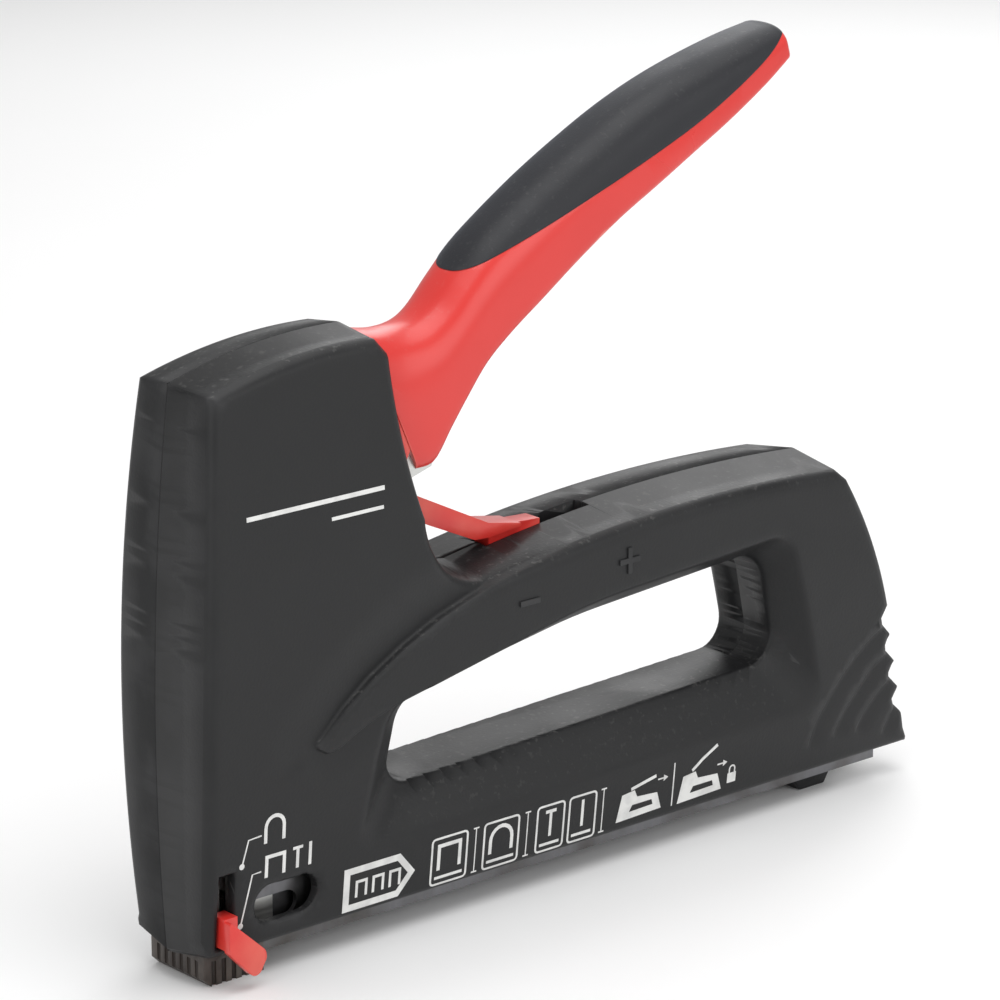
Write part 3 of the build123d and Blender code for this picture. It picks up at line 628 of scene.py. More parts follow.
def skinHeight(points, withOpenings, rounding=None):
    # rounding: for points on the edge's own rings, the turn of the edge there, in degrees (0 elsewhere)
    c = casingLook
    closed = outline + [outline[0]]
    dist, _, _ = nearest(points, closed)
    sink = sunken(points)
    top = halfWidth(points[:, 1]) - c["skin"] - sink
    edge = np.where(points[:, 1] < 9, c["bottomEdge"], c["edge"])
    a = radians(c["draft"])
    centre = (edge + (top - edge) * sin(a)) / cos(a)
    tangent = centre - edge * cos(a)
    arc = top - edge + np.sqrt(np.maximum(edge**2 - np.minimum(dist - centre, 0) ** 2, 0))
    y = np.where(dist < tangent, dist / tan(a), np.where(dist < centre, arc, top))
    if rounding is not None:
        onRing = top - edge + edge * np.sin(np.radians(rounding))
        y = np.where((rounding > 0) & (sink < 0.02), np.minimum(onRing, top), y)
    bevel = np.full(len(points), 99.0)
    for k, p in enumerate(points):
        hit = bevelTree.ray_cast(Vector((p[0], p[1], 40.0)), Vector((0, 0, -1)))
        if hit[0] is not None:
            bevel[k] = hit[0].z - 0.1
    landEdge, _, _ = nearest(points, list(map(tuple, loopLand)) + [tuple(loopLand[0])])
    curl = 0.8
    rolled = curl * (1 - np.sqrt(np.maximum(1 - (1 - np.minimum(landEdge / curl, 1)) ** 2, 0)))
    bevel = bevel - rolled
    y = softMin(y, bevel, 1.0)
    if withOpenings:
        wx, wz, long, high = windowShape
        reach = (long - high) / 2
        away = np.hypot(np.maximum(np.abs(points[:, 0] - wx) - reach, 0), points[:, 1] - wz) - high / 2
        y = y - c["rimDepth"] * (1 - np.clip(away / c["rimWidth"], 0, 1))
        x0, z0, x1, z1 = slotShape
        away = np.hypot(np.maximum(np.maximum(x0 - points[:, 0], points[:, 0] - x1), 0),
                        np.maximum(np.maximum(z0 - points[:, 1], points[:, 1] - z1), 0))
        y = y - 0.3 * (1 - np.clip(away / 0.35, 0, 1))
    return y


def offsetRing(line, reach, closed=True):
    # the line moved to its right by a distance for each point, without the points that fold over
    pts = np.array(line)
    n = len(pts)
    ahead = np.roll(pts, -1, 0) - pts
    behind = pts - np.roll(pts, 1, 0)
    if not closed:
        ahead[-1], behind[0] = behind[-1], ahead[0]
    d = ahead / np.hypot(*ahead.T)[:, None] + behind / np.hypot(*behind.T)[:, None]
    d /= np.maximum(np.hypot(*d.T), 1e-6)[:, None]
    moved = pts + np.stack([d[:, 1], -d[:, 0]], 1) * np.asarray(reach)[:, None]
    check = [tuple(p) for p in pts] + ([tuple(pts[0])] if closed else [])
    dist, _, _ = nearest(moved, check)
    keep = dist > np.abs(reach) - 0.04
    return [tuple(p) for p in moved[keep]]


outline = offsetRing(casingOutline(), np.full(len(casingOutline()), casingLook["skin"]))


def skinPoints(withOpenings):
    c = casingLook
    points, edges, rounding = [], [], []

    def addLine(line, closed, turn=0.0):
        start = len(points)
        points.extend(line)
        rounding.extend([turn] * len(line))
        n = len(line)
        for k in range(n if closed else n - 1):
            a, b = line[k], line[(k + 1) % n]
            if hypot(a[0] - b[0], a[1] - b[1]) < 4.0:
                edges.append((start + k, start + (k + 1) % n))

    addLine(outline, True)
    a = radians(c["draft"])
    heights = np.array([p[1] for p in outline])
    top = halfWidth(heights) - c["skin"]
    edge = np.where(heights < 9, c["bottomEdge"], c["edge"])
    centre = (edge + (top - edge) * sin(a)) / cos(a)
    for turn in (172, 152, 132, 112, 90):
        addLine(offsetRing(outline, centre + edge * cos(radians(turn))), True, turn)
    addLine([tuple(p) for p in loopLand], True)
    gap = np.hypot(*(loopSide - loopLand).T)
    for e in (0.12, 0.35, 0.8):
        t = (e / gap)[:, None]
        addLine([tuple(p) for p in loopLand * (1 - t) + loopSide * t], True)
    spot = loopSide
    for _ in range(3):
        t = (halfWidth(spot[:, 1]) - c["skin"] + 0.1 - 8.0) / 6.7
        spot = loopLand * (1 - t[:, None]) + loopSide * t[:, None]
    for k in (0.33, 0.66):
        s = (t * k)[:, None]
        addLine([tuple(p) for p in loopLand * (1 - s) + loopSide * s], True)
    for lift in (-1.0, -0.55, -0.2, 0.15, 0.5, 0.95):
        s = np.clip(t + lift / 6.7, 0, 1.1)[:, None]
        addLine([tuple(p) for p in loopLand * (1 - s) + loopSide * s], True)
    blade = list(reversed(underLine)) + stepLine
    fine = [q for p0, p1 in zip(blade[:-1], blade[1:]) for q in straight(p0, p1, 1.0)[:-1]] + [blade[-1]]
    for reach in (0.38, 0.2, 0.0, -0.2, -0.38, -0.9, -2.0, -3.6, -5.6, -8.0, -10.5, -13.0):
        addLine(offsetRing(fine, np.full(len(fine), reach), False), False)
    for line in scaleLines:
        fine = [q for p0, p1 in zip(line[:-1], line[1:]) for q in straight(p0, p1, 1.0)[:-1]] + [line[-1]]
        for reach in (0.35, 0.0, -0.35, -1.2, -2.5, -4.0):
            addLine(offsetRing(fine, np.full(len(fine), reach), False), False)
    if withOpenings:
        wx, wz, long, high = windowShape
        for grow in (0.0, c["rimWidth"]):
            r = high / 2 + grow
            reach = (long - high) / 2
            ring = [(wx + reach + r * cos(t), wz + r * sin(t)) for t in np.linspace(-pi / 2, pi / 2, 15)]
            ring += [(wx - reach + r * cos(t), wz + r * sin(t)) for t in np.linspace(pi / 2, 1.5 * pi, 15)]
            addLine(ring, True)
        x0, z0, x1, z1 = slotShape
        for grow in (0.0, 0.35):
            low, high, start, end = z0 - grow, z1 + grow, x0 - grow, x1 + grow
            corners = [(start, low), (end, low), (end, high), (start, high)]
            ring = [q for k in range(4) for q in straight(corners[k], corners[(k + 1) % 4], 1.0)[:-1]]
            addLine(ring, True)
    # loose points in the open areas
    step = c["gridStep"]
    xs, zs = np.meshgrid(np.arange(0, 196, step), np.arange(5, 123, step * 0.87))
    xs = xs + (np.arange(len(xs)) % 2)[:, None] * step / 2
    grid = np.stack([xs.ravel(), zs.ravel()], 1)
    grid = grid[insidePoly(grid, outline)]
    grid = grid[~insidePoly(grid, [tuple(p) for p in loopSide * 1.0])]
    taken = np.array(points)
    free = np.ones(len(grid), bool)
    for k in range(0, len(grid), 500):
        part = grid[k:k + 500, None]
        gap = np.hypot(part[..., 0] - taken[None, :, 0], part[..., 1] - taken[None, :, 1])
        free[k:k + 500] = gap.min(1) > step * 0.55
    points.extend(map(tuple, grid[free]))
    rounding.extend([0.0] * int(free.sum()))
    return points, edges, rounding


def makeShell(side, name, cadName):
    withOpenings = side < 0
    points, edges, turns = skinPoints(withOpenings)
    verts, _, faces, sources, _, _ = delaunay_2d_cdt([Vector(p) for p in points], edges, [], 0, 1e-5)
    rounding = np.array([max([turns[k] for k in source], default=0.0) for source in sources])
    flat = np.array([(v.x, v.y) for v in verts])
    tris = np.array([f for f in faces if len(f) == 3])
    middle = flat[tris].mean(1)
    keep = insidePoly(middle, outline) & ~insidePoly(middle, [tuple(p) for p in loopLand])
    tris = tris[keep]
    height = skinHeight(flat, withOpenings, rounding)
    # close it with a flat back, beyond the parting plane
    count = {}
    for f in tris:
        for a, b in ((f[0], f[1]), (f[1], f[2]), (f[2], f[0])):
            count[(a, b)] = 1
    rim = [e for e in count if (e[1], e[0]) not in count]
    used = np.unique(tris)
    index = {v: k for k, v in enumerate(used)}
    n = len(used)
    back = 1.0
    front = [((flat[v][0] - setback) * mm, side * height[v] * mm, flat[v][1] * mm) for v in used]
    rear = [((flat[v][0] - setback) * mm, -side * back * mm, flat[v][1] * mm) for v in used]
    fs = [tuple(index[v] for v in f) for f in tris]
    fs += [tuple(index[v] + n for v in reversed(f)) for f in tris]
    fs += [(index[b], index[a], index[a] + n, index[b] + n) for a, b in rim]
    solid = newMesh(name, front + rear, fs, blackPlastic)
    tidyMesh(solid, 1e-7)
    cutter = copyOf(cadName, name + "Inside")
    tidyMesh(cutter, 1e-6)
    b = solid.modifiers.new("inside", "BOOLEAN")
    b.operation = "INTERSECT"
    b.solver = "EXACT"
    b.object = cutter
    settle(solid)
    inner = cutter.data
    bpy.data.objects.remove(cutter)
    bpy.data.meshes.remove(inner)
    dress(solid, blackPlastic)
    tidyMesh(solid, 2e-6)
    smoothByAngle(solid, 28)
    place(solid, "casing", "casing_black", cadName)
    print(name, len(solid.data.polygons), "faces")
    return solid


leftShell = makeShell(-1, "leftShell", "casing_left")
rightShell = makeShell(1, "rightShell", "casing_right")


# casing marks and prints: thin pieces that follow the skin
markLook = dict(raise_=0.35, sink=0.3, stroke=1.1)
printThickness = 0.05


def onSkin(name, shapes, lift, sink, material, step=1.2):
    # flat outlines laid on the left skin; each shape is a list of points, with holes as further lists
    verts, faces = [], []
    for shape in shapes:
        rings = shape if isinstance(shape[0][0], (tuple, list)) else [shape]
        pts, edges = [], []
        for ring in rings:
            turned = ring[1:] + ring[:1]
            dense = [q for a, b in zip(ring, turned) for q in straight(a, b, step)[:-1]]
            start = len(pts)
            pts += dense
            edges += [(start + k, start + (k + 1) % len(dense)) for k in range(len(dense))]
        v2, _, f2, _, _, _ = delaunay_2d_cdt([Vector(p) for p in pts], edges, [], 0, 1e-6)
        flat = np.array([(v.x, v.y) for v in v2])
        tris = np.array(f2)
        middle = flat[tris].mean(1)
        keep = insidePoly(middle, rings[0])
        for hole in rings[1:]:
            keep &= ~insidePoly(middle, hole)
        tris = tris[keep]
        y = skinHeight(flat, True)
        base, n = len(verts), len(flat)
        verts += [((p[0] - setback) * mm, -(h + lift) * mm, p[1] * mm) for p, h in zip(flat, y)]
        verts += [((p[0] - setback) * mm, -(h - sink) * mm, p[1] * mm) for p, h in zip(flat, y)]
        count = set()
        for f in tris:
            count |= {(f[0], f[1]), (f[1], f[2]), (f[2], f[0])}
            faces.append(tuple(int(base + k) for k in f))
            faces.append(tuple(int(base + n + k) for k in reversed(f)))
        for a, b in count:
            if (b, a) not in count:
                faces.append((int(base + b), int(base + a), int(base + a + n), int(base + b + n)))
    o = newMesh(name, verts, faces, material)
    tidyMesh(o, 1e-8)
    return o


def stripe(x0, z0, x1, z1):
    return [(x0, z0), (x1, z0), (x1, z1), (x0, z1)]


def stroke(line, width):
    # a line of points as a strip
    pts = np.array(line, float)
    d = np.gradient(pts, axis=0)
    d /= np.hypot(*d.T)[:, None]
    side = np.stack([-d[:, 1], d[:, 0]], 1) * width / 2
    return [tuple(p) for p in pts + side] + [tuple(p) for p in (pts - side)[::-1]]


def disc(x, z, r, n=14):
    return [(x + r * cos(2 * pi * k / n), z + r * sin(2 * pi * k / n)) for k in range(n)]


def frameOf(x0, z0, x1, z1, r, width):
    # a rounded box outline, as an outer ring and a hole
    def ring(inset):
        a, b, c, d, q = x0 + inset, z0 + inset, x1 - inset, z1 - inset, max(r - inset, 0.1)
        out = []
        for cx, cz, t in ((c - q, b + q, -90), (c - q, d - q, 0), (a + q, d - q, 90), (a + q, b + q, 180)):
            out += [(cx + q * cos(radians(t + k * 30)), cz + q * sin(radians(t + k * 30))) for k in range(4)]
        return out
    return [ring(0), ring(width)]


def archShape(cx, z0, width, height, wire):
    r = width / 2
    line = [(cx - r, z0), (cx - r, z0 + height - r)]
    line += [(cx + r * cos(t), z0 + height - r + r * sin(t)) for t in np.linspace(pi, 0, 11)[1:-1]]
    line += [(cx + r, z0 + height - r), (cx + r, z0)]
    return stroke(line, wire)


def squareShape(cx, z0, width, height, wire):
    a, b, top = cx - width / 2, cx + width / 2, z0 + height
    return [(a, z0), (a + wire, z0), (a + wire, top - wire), (b - wire, top - wire), (b - wire, z0), (b, z0),
            (b, top), (a, top)]


plus = (107.3, 65.6)
w = markLook["stroke"] / 2
marks = [stripe(78.3, 62.5 - w, 83.4, 62.5 + w),
         [(plus[0] - 2.7, plus[1] - w), (plus[0] - w, plus[1] - w), (plus[0] - w, plus[1] - 2.7),
          (plus[0] + w, plus[1] - 2.7), (plus[0] + w, plus[1] - w), (plus[0] + 2.7, plus[1] - w),
          (plus[0] + 2.7, plus[1] + w), (plus[0] + w, plus[1] + w), (plus[0] + w, plus[1] + 2.7),
          (plus[0] - w, plus[1] + 2.7), (plus[0] - w, plus[1] + w), (plus[0] - 2.7, plus[1] + w)]]
gripMarks = onSkin("gripMarks", marks, markLook["raise_"], markLook["sink"], blackPlastic)
place(gripMarks, "casing", "casing_black")

printLookSizes = dict(line=0.32, staple=0.75, dot=0.62)


def makePrints():
    thin, wire = printLookSizes["line"], printLookSizes["staple"]
    art = [disc(10.1, 24.6, printLookSizes["dot"]), disc(10.4, 12.1, printLookSizes["dot"])]
    art.append(stroke([(10.1, 24.6), (11.5, 29.7), (14.6, 29.9)], thin))
    art.append(stroke([(10.4, 12.1), (12.7, 22.3), (14.8, 22.4)], thin))
    art.append(archShape(17.8, 28.0, 4.4, 5.3, wire))                  # round staple
    art.append(squareShape(18.2, 20.8, 5.0, 4.6, wire))                # square staple
    art += [stripe(22.4, 24.9, 24.8, 25.5), stripe(23.25, 21.0, 23.95, 24.9)]   # headed nail
    art.append(stripe(26.3, 20.9, 27.0, 25.7))                           # pin
    # size panel: a staple in a rounded box for each kind, with a plain dimension line beside it
    spans = [(57.5, 67.0), (71.0, 80.5), (85.0, 92.6), (93.6, 101.2)]
    boxes = [(start, 7.7, end, 18.0) for start, end in spans]
    for k, (x0, z0, x1, z1) in enumerate(boxes):
        art.append(frameOf(x0, z0, x1, z1, 1.0, 0.45))
        cx, half = (x0 + x1) / 2, (x1 - x0) / 2
        if k == 0:
            art.append(squareShape(cx, z0 + 3.2, 6.2, 5.6, 0.8))
        elif k == 1:
            art.append(archShape(cx, z0 + 3.2, 5.6, 5.6, 0.8))
        elif k == 2:
            art.append(stripe(cx - 1.4, z1 - 2.0, cx + 1.4, z1 - 1.3))
            art.append(stripe(cx - 0.35, z0 + 3.2, cx + 0.35, z1 - 2.0))
        else:
            art.append(stripe(cx - 0.35, z0 + 3.2, cx + 0.35, z1 - 1.3))
        art.append(stripe(x0 + 1.2, z0 + 1.3, x1 - 1.2, z0 + 1.9))
    for x in (69.0, 82.6, 103.0):
        art.append(stripe(x - 0.12, 8.2, x + 0.12, 17.6))
        art += [stripe(x - 0.7, z, x + 0.7, z + 0.3) for z in (8.0, 17.5)]
    # loading pictograms: a small side view of the tool with an arrow, twice, and a padlock
    for x0, lifted in ((107.0, False), (124.0, True)):
        body = [(0, 9.0), (1.2, 14.8), (4.6, 15.2), (5.4, 13.6), (11.0, 13.2), (12.4, 9.4)]
        body = [(x0 + x, z) for x, z in body]
        hole = [(x0 + x, z) for x, z in ((3.4, 10.6), (4.2, 12.0), (9.6, 12.0), (10.0, 10.8))]
        art.append([body, hole])
        rise = 3.4 if lifted else 0.6
        art.append(stroke([(x0 + 3.6, 15.6), (x0 + 6.4, 15.9 + rise * 0.5), (x0 + 10.4, 16.4 + rise)], 0.7))
        ax, az = (x0 + 12.6, 16.0) if not lifted else (x0 + 12.4, 15.2)
        art += [stripe(ax - 1.6, az - 0.16, ax, az + 0.16), [(ax, az - 0.7), (ax + 1.2, az), (ax, az + 0.7)]]
    art.append(stripe(122.3, 9.0, 122.6, 18.6))
    art.append(stripe(138.0, 10.2, 140.4, 12.4))
    art.append(archShape(139.2, 12.3, 1.5, 1.7, 0.34))
    # a plain arrow block stands where the maker's claim would be
    art.append([[(35.5, 8.0), (49.5, 8.0), (53.5, 12.6), (49.5, 17.2), (35.5, 17.2)],
                [(37.0, 9.4), (37.0, 15.8), (48.9, 15.8), (51.7, 12.6), (48.9, 9.4)]])
    for k in range(3):
        art.append(squareShape(40.0 + 4.2 * k, 10.6, 3.0, 3.6, 0.6))
    # two plain stripes take the place of the name on the head
    art += [stripe(12.0, 92.2, 45.0, 93.1), stripe(32.0, 88.6, 44.6, 89.3)]
    return onSkin("sidePrints", art, printThickness, 0.12, whitePrint)


sidePrints = makePrints()
place(sidePrints, "casing", "casing_black")
print("marks and prints laid on")


# lever: one smooth section carried along, split by the edge of its soft grip
# each station is (low point, high point, half width), from the head to the tip
leverLook = dict(
    slices=110, around=72, crown=2.35, under=9.0, wall=7.85, gap=0.12, past=14.0, boreHalf=12.0,
    hub=11.3, hubHalf=8.72, shield=17.7, shieldHalf=8.6, shieldInside=16.2, shieldRoom=6.0, bore=3.05,
)
leverStations = [
    ((57.8, 92.0), (44.8, 121.4), 9.0),
    ((62.4, 92.8), (53.5, 119.6), 9.0),
    ((66.6, 98.6), (60.6, 119.9), 9.0),
    ((70.4, 103.6), (65.8, 122.4), 8.9),
    ((75.6, 109.9), (71.6, 128.1), 8.9),
    ((82.0, 115.1), (77.0, 133.2), 9.0),
    ((90.0, 120.5), (84.0, 138.1), 9.1),
    ((100.0, 127.3), (93.6, 144.0), 9.2),
    ((110.0, 133.4), (103.6, 149.4), 9.2),
    ((120.0, 138.5), (114.0, 154.5), 9.1),
    ((130.0, 143.7), (124.6, 158.7), 8.9),
    ((140.0, 148.9), (135.6, 162.0), 8.6),
    ((150.0, 154.6), (147.0, 164.7), 8.0),
    ((157.0, 158.9), (154.8, 166.1), 7.1),
]
gripEdge = [
    (60.0, 136.0), (64.0, 129.0), (65.6, 127.0), (68.0, 126.9), (72.0, 128.3),
    (80.0, 131.5), (90.0, 135.2), (100.0, 138.9), (110.0, 142.5), (120.0, 146.2),
    (130.0, 150.2), (140.0, 155.0), (150.0, 160.6), (156.5, 165.2), (162.0, 169.4),
]


def glide(values, t):
    # a smooth line through evenly numbered values
    n = len(values)
    k = min(int(t), n - 2)
    f = t - k
    p = [np.array(values[min(max(k + j, 0), n - 1)], float) for j in (-1, 0, 1, 2)]
    return 0.5 * (2 * p[1] + (p[2] - p[0]) * f + (2 * p[0] - 5 * p[1] + 4 * p[2] - p[3]) * f**2
                  + (3 * p[1] - p[0] - 3 * p[2] + p[3]) * f**3)


def leverRing(t, grow=0.0, count=None):
    c = leverLook
    low = glide([s[0] for s in leverStations], t)
    high = glide([s[1] for s in leverStations], t)
    half = float(glide([(s[2],) for s in leverStations], t)[0]) + grow
    rise = high - low
    size = np.hypot(*rise)
    up = rise / size
    ring = []
    n = count or c["around"]
    middle = 0.42
    for k in range(n):
        a = 2 * pi * k / n - pi / 2
        s, q = sin(a), cos(a)
        power = 2 / c["crown"] if s > 0 else 2 / c["under"]
        across = half * np.sign(q) * abs(q) ** (2 / (2.6 if s > 0 else c["under"]))
        lift = s and np.sign(s) * abs(s) ** power
        along = (size * (1 - middle) + grow if s > 0 else size * middle + grow) * lift
        centre = low + rise * middle
        p = centre + up * along
        ring.append((p[0], -across, p[1]))
    return ring


def leverSolid(name, grow, start, end, material):
    c = leverLook
    ts = np.linspace(start, end, c["slices"])
    rings = [leverRing(t, grow) for t in ts]
    # round the tip off
    last = np.array(rings[-1])
    middle = last.mean(0)
    heading = middle - np.array(rings[-2]).mean(0)
    heading /= np.linalg.norm(heading)
    for k in range(1, 6):
        a = radians(90 * k / 6)
        smaller = (last - middle) * (0.72 + 0.28 * cos(a))
        rings.append([tuple(p) for p in middle + smaller + heading * 1.5 * sin(a)])
    n = c["around"]
    verts = [((x - setback) * mm, y * mm, z * mm) for ring in rings for x, y, z in ring]
    faces = []
    for r in range(len(rings) - 1):
        for k in range(n):
            faces.append((r * n + k, r * n + (k + 1) % n, (r + 1) * n + (k + 1) % n, (r + 1) * n + k))
    faces.append(tuple(range(n - 1, -1, -1)))
    faces.append(tuple(range((len(rings) - 1) * n, len(rings) * n)))
    o = newMesh(name, verts, faces, material)
    tidyMesh(o, 1e-8)
    return o


def spot(x, z, y=0.0):
    return ((x - setback) * mm, y * mm, z * mm)


def gripLine(sink):
    # the edge of the soft grip as a smooth line, from the head to the tip
    return [tuple(glide(gripEdge, t) - np.array([0.0, sink])) for t in np.linspace(0, len(gripEdge) - 1, 90)]


def cut(target, tool, operation, messy=False):
    b = target.modifiers.new("cut", "BOOLEAN")
    b.operation = operation
    b.solver = "EXACT"
    b.object = tool
    b.use_self = messy
    settle(target)


def drop(*objs):
    for o in objs:
        me = o.data
        bpy.data.objects.remove(o)
        bpy.data.meshes.remove(me)


def easeEdges(o, width, angle, segments=3):
    b = o.modifiers.new("ease", "BEVEL")
    b.width = width
    b.segments = segments
    b.limit_method = "ANGLE"
    b.angle_limit = radians(angle)
    settle(o)


def prismY(name, ring, half, material=redPlastic):
    # a side-view outline carried across the parting plane
    n = len(ring)
    verts = [spot(x, z, s * half) for s in (-1, 1) for x, z in ring]
    faces = [tuple(range(n)), tuple(range(2 * n - 1, n - 1, -1))]
    faces += [(k, (k + 1) % n, (k + 1) % n + n, k + n) for k in range(n)]
    o = newMesh(name, verts, faces, material)
    tidyMesh(o, 1e-8)
    return o


def aroundPivot(radius, turns):
    # points on a circle round the lever's pivot, at the given turns in radians
    x, z = leverPivot
    return [(x + radius * cos(t), z + radius * sin(t)) for t in turns]


def pie(radius, start, end):
    # an arc round the lever's pivot, closed at the pivot
    return aroundPivot(radius, [radians(t) for t in range(start, end + 1, 3)]) + [leverPivot]


def fullTurn(count):
    return [2 * pi * k / count for k in range(count)]


leverPivot = (45.0, 101.0)
coreRoom = [(45, 107.85), (56, 110.35), (65, 113.95), (73, 121.35), (81, 128.95), (100, 136.95), (120, 144.15),
            (138, 151.95), (141, 152.6), (142.4, 149.0), (150, 140), (62, 70), (10, 80), (20, 107.85)]


def makeLever():
    c = leverLook
    last = len(leverStations) - 1.02
    body = leverSolid("leverBody", -0.1, 0.0, last, redPlastic)
    grip = leverSolid("leverGrip", 0.0, 0.0, last, softGrip)
    above = [(175.0, 190.0), (40.0, 190.0), (40.0, 136.0)]
    over = prismY("over", gripLine(0.0) + above, c["past"])
    under = prismY("under", gripLine(c["gap"]) + above, c["past"])
    hub = prismY("hub", aroundPivot(c["hub"], fullTurn(72)), c["hubHalf"])
    shield = prismY("shield", pie(c["shield"], 78, 150), c["shieldHalf"])
    room = prismY("room", coreRoom, c["wall"])
    behindShield = prismY("behindShield", pie(c["shieldInside"], 60, 170), c["shieldRoom"])
    bore = prismY("bore", aroundPivot(c["bore"], fullTurn(48)), c["boreHalf"])
    cut(body, hub, "UNION", True)
    cut(body, shield, "UNION", True)
    for tool in (under, room, behindShield, bore):
        tidyMesh(body, 1e-7)
        cut(body, tool, "DIFFERENCE", True)
        print("lever cut by", tool.name, len(body.data.polygons))
    cut(grip, over, "INTERSECT")
    cut(grip, room, "DIFFERENCE")
    drop(over, under, hub, shield, room, behindShield, bore)
    for o, width in ((body, 0.35), (grip, 0.6)):
        tidyMesh(o, 3e-6)
        easeEdges(o, width * mm, 40)
        tidyMesh(o, 1e-6)
        smoothByAngle(o, 40)
    place(body, "lever", "red_plastic", "lever_body")
    place(grip, "lever", "grip_rubber", "lever_grip")


makeLever()
print("lever shaped")


# power slider: red bar with cross ridges for the thumb
sliderLook = dict(halfWidth=3.1, ridges=9, ridgeRadius=0.55, ridgeFrom=(58.0, 84.4), ridgeTo=(76.0, 74.2))


def ridgeTree(material):
    # a row of short rounded bars between two points, as one tree
    t = bpy.data.node_groups.new("ridgeRow", "GeometryNodeTree")
    addSocket(t, "Geometry", "INPUT", "Geometry")
    addSocket(t, "From", "INPUT", "Vector")
    addSocket(t, "To", "INPUT", "Vector")
    addSocket(t, "Count", "INPUT", "Int", 8)
    addSocket(t, "Radius", "INPUT", "Float", 0.0005)
    addSocket(t, "Width", "INPUT", "Float", 0.006)
    addSocket(t, "Turn", "INPUT", "Vector")
    addSocket(t, "Geometry", "OUTPUT", "Geometry")
    i = put(t, "NodeGroupInput")
    o = put(t, "NodeGroupOutput")
    row = put(t, "GeometryNodeMeshLine", mode="END_POINTS")
    t.links.new(i.outputs["Count"], row.inputs["Count"])
    t.links.new(i.outputs["From"], row.inputs["Start Location"])
    t.links.new(i.outputs["To"], row.inputs["Offset"])
    peg = put(t, "GeometryNodeMeshCylinder", fill_type="NGON")
    peg.inputs["Vertices"].default_value = 16
    t.links.new(i.outputs["Radius"], peg.inputs["Radius"])
    t.links.new(i.outputs["Width"], peg.inputs["Depth"])
    on = put(t, "GeometryNodeInstanceOnPoints")
    t.links.new(row.outputs["Mesh"], on.inputs["Points"])
    t.links.new(peg.outputs["Mesh"], on.inputs["Instance"])
    t.links.new(i.outputs["Turn"], on.inputs["Rotation"])
    real = put(t, "GeometryNodeRealizeInstances")
    t.links.new(on.outputs["Instances"], real.inputs["Geometry"])
    paint = put(t, "GeometryNodeSetMaterial")
    paint.inputs["Material"].default_value = material
    t.links.new(real.outputs["Geometry"], paint.inputs["Geometry"])
    t.links.new(paint.outputs["Geometry"], o.inputs["Geometry"])
    return t


def growFrom(tree, name, values):
    # run a tree on an empty mesh and keep the result as a plain mesh
    o = newMesh(name, [], [], redPlastic)
    m = o.modifiers.new("grow", "NODES")
    m.node_group = tree
    for item in tree.interface.items_tree:
        if item.item_type == "SOCKET" and item.in_out == "INPUT" and item.name in values:
            m[item.identifier] = values[item.name]
    settle(o)
    tidyMesh(o, 1e-8)
    return o


sliderRidges = ridgeTree(redPlastic)
bars = growFrom(sliderRidges, "thumbRidges", {
    "From": spot(*sliderLook["ridgeFrom"]), "To": spot(*sliderLook["ridgeTo"]), "Count": sliderLook["ridges"],
    "Radius": sliderLook["ridgeRadius"] * mm, "Width": 2 * sliderLook["halfWidth"] * mm,
    "Turn": (pi / 2, 0.0, 0.0)})
easeEdges(bars, 0.15 * mm, 40, 2)
smoothByAngle(bars, 45)
place(bars, "slider", "red_plastic")
sliderBar = roundedCopy("power_slider", "sliderBar", redPlastic, 0.5 * mm)
place(sliderBar, "slider", "red_plastic", "power_slider")
knob = roundedCopy("selector_tab", "selectorKnob", redPlastic, 0.45 * mm)
place(knob, "selector", "red_plastic", "selector_tab")
noseShoe = roundedCopy("nose_block", "noseShoe", noseSteel, 0.25 * mm)
place(noseShoe, "casing", "dark_steel", "nose_block")
tab = roundedCopy("magazine_tab", "railTab", blackPlastic, 0.7 * mm)
place(tab, "rail", "casing_black", "magazine_tab")
print("slider, selector, nose and tab shaped")


# screws: one lathed pan head with a cross recess, set in every seat
screwLook = dict(head=2.65, height=1.45, shank=1.44, dome=0.35, cross=1.25, slot=0.28, crossDepth=0.8)
screwPlaces = [
    (27.5, 115.0), (34.5, 68.0), (31.5, 33.0), (71.0, 61.5), (150.0, 66.8), (171.5, 33.0), (118.0, 24.9),
]
screwSink = 2.7


def makeScrew():
    c = screwLook
    rim, top = c["height"] * 0.45, c["height"] * 0.55
    profile = [(0.0, -1.0), (c["shank"], -1.0), (c["shank"], 0.0), (c["head"], 0.0), (c["head"], rim)]
    for k in range(1, 7):
        a = radians(15 * k)
        profile.append((c["head"] - c["dome"] * 2.0 * (1 - cos(a)), rim + top * sin(a)))
    profile.append((0.0, c["height"]))
    n = 40
    verts, faces = [], []
    for r, h in profile:
        verts += [(r * cos(2 * pi * k / n) * mm, r * sin(2 * pi * k / n) * mm, h * mm) for k in range(n)]
    for p in range(len(profile) - 1):
        low, high = p * n, (p + 1) * n
        faces += [(low + k, low + (k + 1) % n, high + (k + 1) % n, high + k) for k in range(n)]
    o = newMesh("screwForm", verts, faces, zincSteel)
    tidyMesh(o, 1e-7)
    top, low, w, s = c["height"] + 0.5, c["height"] - c["crossDepth"], c["cross"], c["slot"]
    ring = [(w, -s), (w, s), (s, s), (s, w), (-s, w), (-s, s)]
    ring += [(-x, -y) for x, y in ring]
    m = len(ring)
    verts = [(x * mm, y * mm, top * mm) for x, y in ring]
    verts += [(x * 0.45 * mm, y * 0.45 * mm, low * mm) for x, y in ring]
    faces = [tuple(range(m)), tuple(range(2 * m - 1, m - 1, -1))]
    faces += [(k, (k + 1) % m, (k + 1) % m + m, k + m) for k in range(m)]
    cross = newMesh("crossForm", verts, faces, zincSteel)
    tidyMesh(cross, 1e-8)
    cut(o, cross, "DIFFERENCE")
    drop(cross)
    smoothByAngle(o, 35)
    return o


